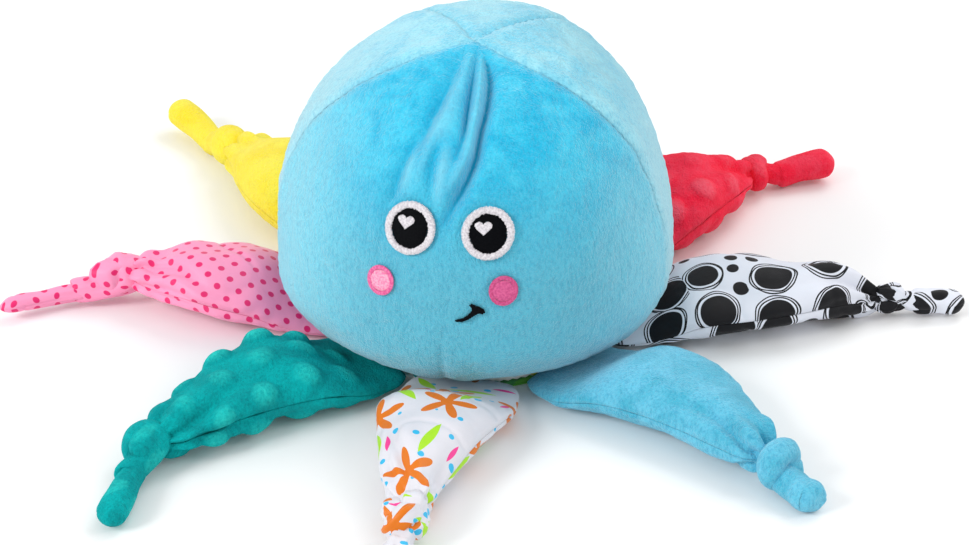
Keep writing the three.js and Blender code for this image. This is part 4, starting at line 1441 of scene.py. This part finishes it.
# %% The eight legs
# What each leg has of its own:
# - knot, bow and tail are its knot's size, its sideways bow and its tail's length, as in its nodes
# - rise is how steeply its tail rises and roll how its knot is turned, both in degrees
# - style is how it is tied: a ring goes once round itself, and lobes are a small overhand knot
# - tube is the thickness of the cloth in the knot, reach the ring's radius, band the knot's breadth along
#   the leg, and inward how far the ring's end dives into its middle
# - finger is its tail's thickness, taper how much that narrows, and longer its millimetres beyond its node
# - crease is where its long crease lies, as an angle round the leg, and domes how high its domes stand
# - wide and high are how much fuller than its node it is at the three open stations, and neck_fill how
#   much wider and taller its neck is
LEGS = {
    "leg_black_white": dict(cloth=black_white_satin, knot=0.78, bow=0, tail=0.725, rise=0, roll=70, seed=101,
                            style="lobes", tube=1.0, reach=1.0, band=1.0, finger=0.85, taper=0.1, longer=0,
                            crease=2.3, wide=(1, 1, 1.1), high=(1, 1.05, 1.2), neck_fill=(1.0, 1.2)),
    "leg_red": dict(cloth=red_minky, knot=0.86, bow=-0.01, tail=0.875, rise=6, roll=80, seed=102,
                    style="ring", tube=1.3, reach=1.0, band=1.1, finger=1.04, taper=0, longer=1, domes=0.6,
                    crease=2.2, wide=(1, 1, 1.1), high=(1.3, 1.35, 1.26), neck_fill=(1.3, 1.5)),
    "leg_green": dict(cloth=green_plush, knot=1, bow=0.03, tail=0.875, rise=0, roll=60, seed=103,
                      style="ring", tube=1.25, reach=1.0, band=1.1, finger=0.95, taper=0, longer=0,
                      crease=1.9, wide=(1, 1, 1.05), high=(1, 1, 1.05), neck_fill=(1.2, 1.3)),
    "leg_yellow": dict(cloth=yellow_plush, knot=1, bow=0.04, tail=1.075, rise=8, roll=120, seed=104,
                       style="ring", tube=1.3, reach=0.85, band=1.5, finger=1.04, taper=0, longer=2.5,
                       crease=-2, wide=(1.08, 1.1, 1.15), high=(1.28, 1.35, 1.3), neck_fill=(1.3, 1.6)),
    "leg_pink": dict(cloth=pink_dot_satin, knot=1.08, bow=0.01, tail=1.15, rise=0, roll=40, seed=105,
                     style="ring", tube=1.2, reach=0.8, band=1.8, finger=0.66, taper=0.25, longer=1,
                     crease=0.8, wide=(1, 1, 1.1), high=(1.06, 1.14, 1.2), neck_fill=(1.3, 1.5)),
    "leg_teal": dict(cloth=teal_minky, knot=0.95, bow=-0.03, tail=1.025, rise=0, roll=55, seed=106,
                     style="ring", tube=1.4, reach=0.85, band=1.5, finger=0.86, taper=0, longer=0,
                     crease=0.85, wide=(0.9, 0.86, 1.0), high=(1, 1, 1), neck_fill=(1.35, 1.25)),
    "leg_white": dict(cloth=white_print_satin, knot=1, bow=-0.03, tail=0.6, rise=0, roll=20, seed=107,
                      style="lobes", tube=1.2, reach=1.0, band=1.0, finger=0.9, taper=0.2, longer=-4,
                      crease=2.1, wide=(0.88, 0.84, 0.92), high=(1, 1, 1), neck_fill=(1.2, 1.2)),
    "leg_blue": dict(cloth=blue_plush, knot=1.03, bow=0.06, tail=0.575, rise=0, roll=311, seed=108,
                     style="ring", tube=1.45, reach=0.95, band=1.0, finger=1.08, taper=0, longer=-2.5,
                     inward=0.5, crease=2.4, wide=(0.95, 0.95, 1.12), high=(1, 1, 1.1),
                     neck_fill=(1.3, 1.35)),
}
print("legs:", len(LEGS))

# %% Places along a leg
joints = {joint["child"]: joint for joint in frame["joints"]}


def pointing(joint):
    """Which way a limb points from its hinge, which lies level and square to it."""
    return np.array([-joint["axis"][1], joint["axis"][0], 0])


def leg_facts(name):
    """Places and directions of one leg, from its two joints."""
    leg = dict({"inward": 0, "domes": 1}, **LEGS[name], name=name)
    lift, flop = joints[name], joints[name.replace("leg_", "tail_")]
    leg["root"], leg["ahead"] = np.array(lift["pos_m"]), pointing(lift)
    leg["hinge"], leg["tail_ahead"] = np.array(flop["pos_m"]), pointing(flop)
    leg["aside"] = np.array([-leg["ahead"][1], leg["ahead"][0], 0])
    leg["is_satin"] = "satin" in leg["cloth"].name
    size = leg["knot"]
    leg["knot_height"] = KNOT_RADIUS * size + SEAM_GAP
    apart = KNOT_CORE * size + SEAM_GAP + TAIL_ROOT_RADIUS
    leg["tail_gap"] = math.sqrt(apart ** 2 - (leg["knot_height"] - leg["hinge"][2]) ** 2)
    leg["knot_middle"] = leg["hinge"] - leg["tail_gap"] * leg["tail_ahead"]
    leg["knot_middle"][2] = leg["knot_height"]
    return leg


print("joints:", len(joints))

# %% Stations along a leg
# Where the stations under the head and beyond it lie, and the leg's width, crown and belly at each of them
COVERED_SHARES = (0, 0.28, 0.6, 1)
OPEN_SHARES = (0.3, 0.58, 0.82)
WIDTH_SHARES = (0.85, 0.95, 1, 1, 0.94, 0.77, 0.48)
CROWN_SHARES = (0.16, 0.27, 0.5, 0.9, 1, 0.94, 0.76)
BELLY_SHARES = (0.9, 1, 1, 0.85, 0.45, 0.2, 0)


def with_stations(leg):
    """The same leg with its width, crown and belly at every station from its root to its neck."""
    size = leg["knot"]
    knot_place = float((leg["knot_middle"] - leg["root"]) @ leg["ahead"])
    inner = NECK_HALF_HEIGHT * size - NECK_CLOTH
    neck = knot_place - math.sqrt((KNOT_CORE * size) ** 2 - inner ** 2) - SEAM_GAP
    open_places = [COVERED_LENGTH + (neck - COVERED_LENGTH) * share for share in OPEN_SHARES]
    covered_places = [COVERED_LENGTH * share for share in COVERED_SHARES]
    middle = leg["knot_height"] - leg["root"][2]
    half = NECK_HALF_HEIGHT * size
    across, over = leg["neck_fill"]
    wide = np.array([1, 1, 1, 1, *leg["wide"]])
    high = np.array([1, 1, 1, 1, *leg["high"]])
    leg["neck"] = neck
    leg["places"] = [-MOUTH_LENGTH, *covered_places, *open_places, neck, neck + NECK_TUCK]
    leg["widths"] = [MOUTH_HALF_WIDTH, *(LEG_HALF_WIDTH * wide * WIDTH_SHARES),
                     NECK_HALF_WIDTH * size * across, NECK_TUCKED * NECK_HALF_WIDTH * size]
    leg["crowns"] = [MOUTH_HALF_HEIGHT, *(LEG_CROWN * high * CROWN_SHARES),
                     middle + half * over, middle + NECK_TUCKED * half]
    leg["bellies"] = [MOUTH_HALF_HEIGHT, *(LEG_BELLY * share for share in BELLY_SHARES),
                      half - middle, NECK_TUCKED * half - middle]
    return leg


print("stations along a leg:", len(COVERED_SHARES) + len(OPEN_SHARES) + 3)


# %% A leg's surface
def in_world(leg, x, y, z):
    """Points from a leg's own directions to the room's."""
    return leg["root"] + x[..., None] * leg["ahead"] + y[..., None] * leg["aside"] \
        + z[..., None] * np.array([0, 0, 1])


def leg_section(leg, side, turn, depth=0.0, half_gap=SEAM_GAP / 2, first=None, last=None):
    """The surface of one panel, or of the fill inside, sunk by a depth."""
    x = np.linspace(leg["places"][0] if first is None else first,
                    leg["places"][-1] if last is None else last, LEG_ROWS)
    width = smooth_through(leg["places"], leg["widths"], x)[:, None]
    crown = smooth_through(leg["places"], leg["crowns"], x)[:, None]
    belly = smooth_through(leg["places"], leg["bellies"], x)[:, None]
    bow_start = COVERED_LENGTH / 2
    bow_share = np.clip((x - bow_start) / (leg["neck"] - bow_start), 0, 1)
    bow = LEG_LENGTH * leg["bow"] * np.sin(math.pi * bow_share)
    seam = (crown - belly) / 2
    bulge = np.maximum((crown + belly) / 2 - half_gap - depth, LEAST_BULGE)
    y = bow[:, None] + (width - depth) * np.cos(turn)
    z = seam + side * (half_gap + bulge * np.sin(turn))
    return x, in_world(leg, np.broadcast_to(x[:, None], y.shape), y, z)


print("points on a leg's panel:", LEG_ROWS * LEG_COLUMNS)

# %% [markdown]
# ## Relief of the legs
# Where the cloth is drawn together at the neck it pleats, and one long crease runs out of the knot. Further
# up, the stuffing makes lumps. Satin creases sharply and plush has tufts. Minky also has its domes, which
# stand in staggered rows on the flat cloth and are worn to different heights. They are as large as they show
# on the toy, 13 mm wide and 18 mm apart.

# %% Relief of the legs
SATIN_PLEATS = 7
PLUSH_PLEATS = 5
NECK_PLEAT = 1.4 * MM
NECK_REACH = 15 * MM
NECK_WANDER = 22 * MM
NECK_DRIFT = 13 * MM
NECK_CRIMPS = 13
NECK_CRIMP = 0.4 * MM
LONG_FOLD = 3.2 * MM
LONG_FOLD_FROM = 6 * MM
LONG_FOLD_REACH = 22 * MM
LONG_FOLD_SWAY = 11 * MM
EDGE_REACH = 4.5 * MM
STUFFED_FROM = (18 * MM, 40 * MM)
SATIN_CREASE = 0.5 * MM
CREASES_APART = 22 * MM
CREASE_WIDTH = 0.22
# Height and size of each kind of unevenness
EDGE_PUCKER = (0.3 * MM, 5 * MM)
STUFFED_LUMP = (0.9 * MM, 20 * MM)
SATIN_RIPPLE = (0.15 * MM, 8 * MM)
PLUSH_TUFT = (0.07 * MM, 2.6 * MM)
LEG_SEAM_WIDTH = 1.6 * MM
LEG_SEAM_DEPTH = 0.7 * MM
DEEPEST_SINK = 2.4 * MM


def uneven(points, kind, seed):
    """One kind of unevenness, from its height and its size."""
    height, size = kind
    return height * cloudy(points, size, seed)


def leg_relief(leg, x, turn, points):
    """Seams along both edges, pleats towards the neck, lumps of stuffing and the cloth's own surface."""
    from_edge = from_side_seams(points)
    seed = leg["seed"]
    before_neck = leg["neck"] - x
    near_neck = np.exp(-(np.maximum(before_neck, 0) / NECK_REACH) ** 1.3)[:, None]
    stuffed = smooth_step(*STUFFED_FROM, x)[:, None]
    wander = 0.35 * cloudy(points, NECK_WANDER, seed)
    drift = 1.2 * np.sin(x / NECK_DRIFT)[:, None]
    count = SATIN_PLEATS if leg["is_satin"] else PLUSH_PLEATS
    relief = NECK_PLEAT * near_neck * np.cos(count * turn + wander * 2 + drift + seed)
    relief += NECK_CRIMP * near_neck ** 2 * np.cos(NECK_CRIMPS * turn + 3 * wander + 2)
    long_fold = np.exp(-(np.maximum(before_neck - LONG_FOLD_FROM, 0) / LONG_FOLD_REACH) ** 2)[:, None]
    fold_at = turn - leg["crease"] + 0.25 * np.sin(x / LONG_FOLD_SWAY + seed)[:, None]
    relief -= LONG_FOLD * long_fold * np.exp(-(fold_at / 0.2) ** 2)
    relief += 0.5 * LONG_FOLD * long_fold * np.exp(-((fold_at + 0.45) / 0.3) ** 2)
    relief += uneven(points, EDGE_PUCKER, seed + 9) * np.exp(-(from_edge / EDGE_REACH) ** 2)
    relief += uneven(points, STUFFED_LUMP, seed + 1) * stuffed
    if leg["is_satin"]:
        crease = np.abs(cloudy(points, CREASES_APART, seed + 2))
        relief -= SATIN_CREASE * stuffed * np.exp(-(crease / CREASE_WIDTH) ** 2)
        relief += uneven(points, SATIN_RIPPLE, seed + 3) * stuffed
    else:
        relief += uneven(points, PLUSH_TUFT, seed + 4)
    sewn = np.exp(-(from_edge / LEG_SEAM_WIDTH) ** 2)
    return np.maximum(relief * (1 - sewn) - LEG_SEAM_DEPTH * sewn, -DEEPEST_SINK)


print("pleats at a neck:", PLUSH_PLEATS, "in plush and", SATIN_PLEATS, "in satin")

# %% Domes of minky
DOME_PITCH = 18
DOME_RADIUS = 6.6
DOME_HEIGHT = 3.7 * MM
LEAST_DOME = 0.5
DOMES_FROM = (8 * MM, 20 * MM)
DOMES_UNTIL = (0, 12 * MM)


def dome_share(cloth_places):
    """Embossed domes in staggered rows over the flat cloth, 1 at a full dome's top and 0 between domes."""
    pitch = np.array([DOME_PITCH, DOME_PITCH * math.sqrt(3)])
    share = np.zeros(cloth_places.shape[:-1])
    for shift in (0, 0.5):
        cell = np.floor(cloth_places / pitch + shift)
        within = (cloth_places / pitch + shift) - cell - 0.5
        apart = np.linalg.norm(within * pitch, axis=-1)
        # Each dome's own wear, from its place
        chance = np.sin(37.1 * cell[..., 0] + 54.3 * cell[..., 1] + 2.6 + 9 * shift)
        worn = (1 + LEAST_DOME) / 2 + (1 - LEAST_DOME) / 2 * chance
        share = np.maximum(share, worn * np.clip(1 - (apart / DOME_RADIUS) ** 2.6, 0, 1) ** 1.3)
    return share


print("domes:", DOME_PITCH, "mm apart and up to", round(DOME_HEIGHT / MM, 1), "mm high")

# %% [markdown]
# ## A leg's panels and its fill
# The cloth at a leg's root is sewn into the band and stays with the head, and past the hinge it follows the
# leg. These pieces are attached to neither: their places are baked into their meshes.

# %% Leg panels
HIDDEN_UNTIL = (4 * MM, 20 * MM)
LEG_FILL_GAP = 3.8 * MM
LEG_FILL_COLUMNS = 25
LEG_FILL_FROM = 2 * MM
LEG_FILL_SHORT = 9 * MM


def bend_from_head(piece):
    """Bakes the piece's place into its mesh, without attaching it to the head or the leg."""
    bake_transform(piece)


def leg_panel(leg, side):
    """The upper or the under panel of a leg."""
    node = leg["name"] + ("_upper" if side > 0 else "_under")
    turn = np.linspace(0, math.pi, LEG_COLUMNS)[None, :]
    x, points = leg_section(leg, side, turn)
    relief = leg_relief(leg, x, turn, points)
    domes = np.zeros(relief.shape)
    if "minky" in leg["cloth"].name:
        clear = (smooth_step(*DOMES_FROM, x) * smooth_step(*DOMES_UNTIL, leg["neck"] - x))[:, None]
        domes = dome_share(cloth_millimetres(points)) * clear * np.sin(turn) ** 0.3
        relief = relief + leg["domes"] * DOME_HEIGHT * domes
    hidden = 1 - smooth_step(*HIDDEN_UNTIL, x)[:, None]
    relief = relief * (1 - 0.8 * hidden)
    # dome also marks where the minky material paints its highlight, with paler nap, on the domes' tops
    panel = sew_grid(node + "_cloth", rest_on_floor(raised(points, relief)), dome=domes)
    thicken(panel, LEG_WALL)
    dress(panel, leg["cloth"], node)
    bend_from_head(panel)


def leg_fill(leg):
    """Loose fill that ends short of the root and of the neck."""
    over = np.linspace(0, math.pi, LEG_FILL_COLUMNS)
    under = np.linspace(math.pi, 0, LEG_FILL_COLUMNS)[1:]
    side = np.array([1] * len(over) + [-1] * len(under))[None, :]
    turns = np.concatenate([over, under])[None, :]
    _, points = leg_section(leg, side, turns, depth=LEG_FILL_GAP, half_gap=0.0, first=LEG_FILL_FROM,
                            last=leg["neck"] - LEG_FILL_SHORT)
    piece = sew_grid(leg["name"] + "_fill_core", with_tips(joined(points)), closed=True)
    dress(piece, stuffing, leg["name"] + "_fill")
    bend_from_head(piece)


# %% [markdown]
# ## Knots
# Each leg is tied near its end. A fat plush leg goes once round itself, and a thin satin one makes the
# classic three-lobed knot, opened where two of its strands pass each other so that one end comes from the
# leg and the other becomes the tail. The cloth tube that follows this path is pressed into its neighbours,
# as it is in a knot pulled tight, and pleats run along it.


# %% Tubes of cloth
def tube_rings(path, width, tall, sides, up):
    """Rings of points round a path, carried along it without twisting."""
    heading = np.gradient(path, axis=0)
    heading /= np.linalg.norm(heading, axis=1, keepdims=True)
    turns = np.linspace(0, math.tau, sides)
    rings = []
    for place, ahead, across, height in zip(path, heading, width, tall):
        up = up - ahead * (up @ ahead)
        up = up / np.linalg.norm(up)
        aside = np.cross(up, ahead)
        rings.append(place + across * np.outer(np.cos(turns), aside) + height * np.outer(np.sin(turns), up))
    return joined(np.array(rings))


def dressed_tube(name, rings, leg, fuzz_size):
    """Sews a tube of the leg's cloth, with some of its nap ruffled, and closes both its ends."""
    fuzzy = 0.5 * np.clip(cloudy(rings, fuzz_size, leg["seed"] + 8), 0, 1)
    fuzzy = np.concatenate([fuzzy[:1], fuzzy, fuzzy[-1:]])
    piece = sew_grid(name + "_cloth", with_tips(rest_on_floor(rings)), closed=True, dome=fuzzy)
    dress(piece, leg["cloth"], name)
    return piece


def evenly(path, count):
    """The same path with its points evenly spaced, and each point's share of the whole length."""
    reach = reach_along(path)
    at = np.linspace(0, reach[-1], count)
    return np.stack([np.interp(at, reach, path[:, axis]) for axis in range(3)], axis=1), at / reach[-1]


print("shares of an even path:", evenly(np.eye(3), 3)[1])

# %% Paths of the knots
KNOT_PITCH = 2.25 * MM
RING_REACH = 4.5 * MM
RING_TURN = 1.08
RING_DRIFT = 1.5 * MM
RING_STOPS = 13
LOBE_STOPS = 11


def three_lobes(size):
    """The path of an overhand knot, opened where two of its strands pass: across, along and over."""
    turns = np.linspace(math.pi / 6, math.tau - math.pi / 6, LOBE_STOPS)
    lobes = 1.8 + 0.9 * np.cos(3 * turns)
    return np.stack([lobes * np.cos(2 * turns), lobes * np.sin(2 * turns), 1.1 * np.sin(3 * turns)],
                    axis=1) * KNOT_PITCH * size


def one_ring(size, reach, inward):
    """The path of a fat tube pulled tight: once round itself, and its end may dive into the middle."""
    turns = np.linspace(0, math.tau * RING_TURN, RING_STOPS)
    drift = np.linspace(RING_DRIFT, -RING_DRIFT, RING_STOPS)
    ending = smooth_step(0.75, 1, np.linspace(0, 1, RING_STOPS))
    around = RING_REACH * reach * (1 - inward * ending)
    return np.stack([around * np.cos(turns), drift, around * np.sin(turns)], axis=1) * size


print("a ring's path is", round(reach_along(one_ring(1, 1, 0))[-1] / MM), "mm long, and three lobes are",
      round(reach_along(three_lobes(1))[-1] / MM), "mm")

# %% From the leg through the knot to the tail
KNOT_RINGS = 130
PATH_STEPS = 600
# How far the path starts and leaves inside the neck, and reaches before and beyond the tail's hinge
NECK_INSIDE = 3 * MM
NECK_BEYOND = 1 * MM
HINGE_BEFORE = 3.5 * MM
HINGE_BEYOND = 1.5 * MM


def knot_path(leg):
    """Even places from the leg's neck round the knot to the tail, and the knot's own directions."""
    size = leg["knot"]
    ahead = leg["ahead"] + leg["tail_ahead"]
    ahead /= np.linalg.norm(ahead)
    roll = math.radians(leg["roll"])
    level = np.array([-ahead[1], ahead[0], 0])
    side = math.cos(roll) * level + math.sin(roll) * np.array([0, 0, 1])
    over = np.cross(side, ahead)
    is_ring = leg["style"] == "ring"
    unit = one_ring(size, leg["reach"], leg["inward"]) if is_ring else three_lobes(size)
    loop = leg["knot_middle"] + unit[:, :1] * side + unit[:, 1:2] * ahead + unit[:, 2:] * over
    neck = leg["root"] + leg["neck"] * leg["ahead"]
    neck[2] = leg["knot_height"]
    stops = np.array([
        neck - NECK_INSIDE * leg["ahead"],
        neck + NECK_BEYOND * leg["ahead"],
        *loop,
        leg["hinge"] - HINGE_BEFORE * leg["tail_ahead"],
        leg["hinge"] + HINGE_BEYOND * leg["tail_ahead"],
    ])
    reach = reach_along(stops)
    path, share = evenly(smooth_through(reach, stops, np.linspace(0, reach[-1], PATH_STEPS)), KNOT_RINGS)
    return path, share, ahead, over


print("rings along a knot's tube:", KNOT_RINGS)

# %% Knots
KNOT_SIDES = 33
KNOT_TUBE = 3.5 * MM
KNOT_FLAT = 0.94
KNOT_WANDER = 14 * MM
KNOT_FUZZ = 8 * MM
TAIL_START = 0.86
SATIN_KNOT_PLEAT = 0.34
PLUSH_KNOT_PLEAT = 0.08
# The tube's thickness at shares of its length
TUBE_SHARES = (0, 0.07, 0.2, 0.5, 0.8, 0.93, 1)
TUBE_THICK = (1.25, 1.3, 1.05, 1.0, 1.0, 1.05, 1.05)


def knot(leg):
    """The knot, from the leg's neck round itself to the root of the tail."""
    path, share, ahead, over = knot_path(leg)
    size = leg["knot"]
    inner = smooth_step(0.05, 0.2, share) * smooth_step(0.0, 0.12, 1 - share)
    leaving = smooth_step(0.84, 0.96, share)
    ends = np.sqrt(np.clip(1 - (np.abs(share - 0.5) * 2) ** 30, 0.02, 1))
    thick = smooth_through(TUBE_SHARES, TUBE_THICK, share) * KNOT_TUBE * size
    thick = thick * (1 + (leg["tube"] - 1) * inner)
    thick = thick * (1 - leaving) + TAIL_START * TAIL_HALF_HEIGHT * leg["finger"] * leaving
    rings = tube_rings(path, thick * ends, thick * ends * KNOT_FLAT, KNOT_SIDES, over)
    from_middle = (rings - leg["knot_middle"]) @ ahead
    rings = rings + ((leg["band"] - 1) * inner[:, None] * from_middle)[..., None] * ahead
    turns = np.linspace(0, math.tau, KNOT_SIDES)[None, :]
    wander = cloudy(rings, KNOT_WANDER, leg["seed"] + 5)
    fold = SATIN_KNOT_PLEAT if leg["is_satin"] else PLUSH_KNOT_PLEAT
    pleats = fold * np.cos(5 * turns + 1.5 * np.sin(share * 9)[:, None]) + 0.5 * fold * np.cos(9 * turns + 1)
    relief = size * MM * (pleats + 0.25 * wander)
    rings = joined(raised(rings, relief * ends[:, None], closed=True))
    piece = dressed_tube(leg["name"] + "_knot", rings, leg, fuzz_size=KNOT_FUZZ)
    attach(piece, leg["name"])


print("a knot's tube is about", round(2 * KNOT_TUBE / MM), "mm thick")

# %% [markdown]
# ## Tails
# The end beyond the knot is a soft finger with a round tip. It starts inside the knot, so that no gap opens
# when it flops, and its cloth is crimped there.

# %% Tails
TAIL_SIDES = 41
TAIL_RINGS = 70
# How far inside the knot the tail starts and where its close rings end, in millimetres before the hinge
TAIL_INSIDE = 4.2
TAIL_FROM = 2.5
TIP_LENGTH = 5.5 * MM
CRIMP_REACH = 9 * MM
CRIMP_SIZE = 9 * MM
SATIN_CRIMP = 0.5
PLUSH_CRIMP = 0.2
TAIL_SEAM_DEPTH = 0.4 * MM
TAIL_CREASE = 0.4 * MM
TAIL_CREASES_APART = 11 * MM
TAIL_SWAY = 0.9 * MM
TAIL_FUZZ = 7 * MM
# The tail's thickness at shares of its length
SWELL_SHARES = (0, 0.12, 0.4, 0.72, 0.9, 1)
SWELLS = (TAIL_START, 0.87, 0.93, 1.0, 0.92, 0.7)


def tail(leg):
    """The loose end of the leg, which flops beside the knot."""
    rise = math.radians(leg["rise"])
    length = TAIL_LENGTH * leg["tail"] - leg["tail_gap"] + leg["longer"] * MM
    ahead = leg["tail_ahead"] * math.cos(rise) + np.array([0, 0, math.sin(rise)])
    along = np.concatenate([np.linspace(-TAIL_INSIDE, -TAIL_FROM, 5)[:-1] * MM,
                            np.linspace(-TAIL_FROM * MM, length, TAIL_RINGS - 4)])
    share = np.clip(along / length, 0, 1)
    sway = TAIL_SWAY * np.sin(share * 3.5 + leg["seed"]) * smooth_step(0, 0.4, share)
    path = leg["hinge"] + along[:, None] * ahead
    path = path + sway[:, None] * np.array([-ahead[1], ahead[0], 0])
    past = np.clip((along - length + TIP_LENGTH) / TIP_LENGTH, 0, 1)
    tip = np.sqrt(np.clip(1 - past ** 2, 0.001, 1))
    root = np.sqrt(np.clip(1 - np.clip((-1 * MM - along) / (3.4 * MM), 0, 1) ** 2, 0.02, 1))
    swell = smooth_through(SWELL_SHARES, SWELLS, share) * (1 - leg["taper"] * share)
    swell = swell * leg["finger"] * np.maximum(tip, 0.05) * root
    rings = tube_rings(path, TAIL_HALF_WIDTH * swell, TAIL_HALF_HEIGHT * swell, TAIL_SIDES,
                       np.array([0.0, 0, 1]))
    turns = np.linspace(0, math.tau, TAIL_SIDES)[None, :]
    near_root = np.exp(-(np.maximum(along, 0) / CRIMP_REACH) ** 2)[:, None]
    seams = np.exp(-((np.abs(np.sin(turns))) / 0.12) ** 2)
    crimp = SATIN_CRIMP if leg["is_satin"] else PLUSH_CRIMP
    relief = crimp * MM * near_root * np.cos(6 * turns + 0.6) - TAIL_SEAM_DEPTH * seams \
        + 0.7 * crimp * MM * cloudy(rings, CRIMP_SIZE, leg["seed"] + 6)
    if leg["is_satin"]:
        crease = np.abs(cloudy(rings, TAIL_CREASES_APART, leg["seed"] + 7))
        relief = relief - TAIL_CREASE * np.exp(-(crease / 0.15) ** 2)
    rings = joined(raised(rings, relief * (tip * root)[:, None], closed=True))
    piece = dressed_tube(leg["name"] + "_tail", rings, leg, fuzz_size=TAIL_FUZZ)
    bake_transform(piece)


# %% All eight legs
for name in LEGS:
    leg = with_stations(leg_facts(name))
    leg_panel(leg, 1)
    leg_panel(leg, -1)
    leg_fill(leg)
    knot(leg)
    tail(leg)
    print(name, "is", round(1000 * float(np.linalg.norm(leg["hinge"] - leg["root"]))), "mm to its tail")

# %% [markdown]
# ## Floor
# The toy sits on a sheet of pale backdrop paper, matt and smooth, that shows nothing but soft shadows.

# %% Floor
FLOOR_SIZE = 6

bpy.ops.object.select_all(action="DESELECT")
bpy.ops.mesh.primitive_plane_add(size=FLOOR_SIZE, location=(0, 0, 0))
floor = bpy.context.object
floor.name = "floor"
paper = new_material("pale_paper")
set_finish(paper, Base_Color=linear("#f7f7f7"), Roughness=0.9, Specular_IOR_Level=0.1)
floor.data.materials.append(paper)
print("floor:", paper.name)

# %% [markdown]
# ## Light
# Soft light from large lamps lets the cloths show their own colours. The world gives even light from all
# round, a large lamp to the upper left gives the head its form, one behind and above lights the crown, and
# a weak one to the right keeps the far side from turning grey.

# %% Light
WORLD_STRENGTH = 0.7
LIT_POINT = Vector((0, 0, 0.05))
# Each lamp's place and width in metres, and its watts
LAMPS = {
    "key_lamp": ((-1.25, -1.0, 1.05), 0.7, 18),
    "crown_lamp": ((0.6, 0.9, 1.4), 0.9, 8.5),
    "side_lamp": ((1.3, -0.1, 1.1), 0.7, 5),
}

world = bpy.data.worlds.new("soft_room")
world.use_nodes = True
bpy.context.scene.world = world
backdrop = world.node_tree.nodes["Background"]
backdrop.inputs["Color"].default_value = linear("#ffffff")
backdrop.inputs["Strength"].default_value = WORLD_STRENGTH

for name, (place, width, watts) in LAMPS.items():
    bpy.ops.object.light_add(type="AREA", location=place)
    light = bpy.context.object
    light.name = name
    light.data.size = width
    light.data.energy = watts
    light.rotation_euler = (LIT_POINT - light.location).to_track_quat("-Z", "Y").to_euler()
    print(name, "gives", watts, "watts")
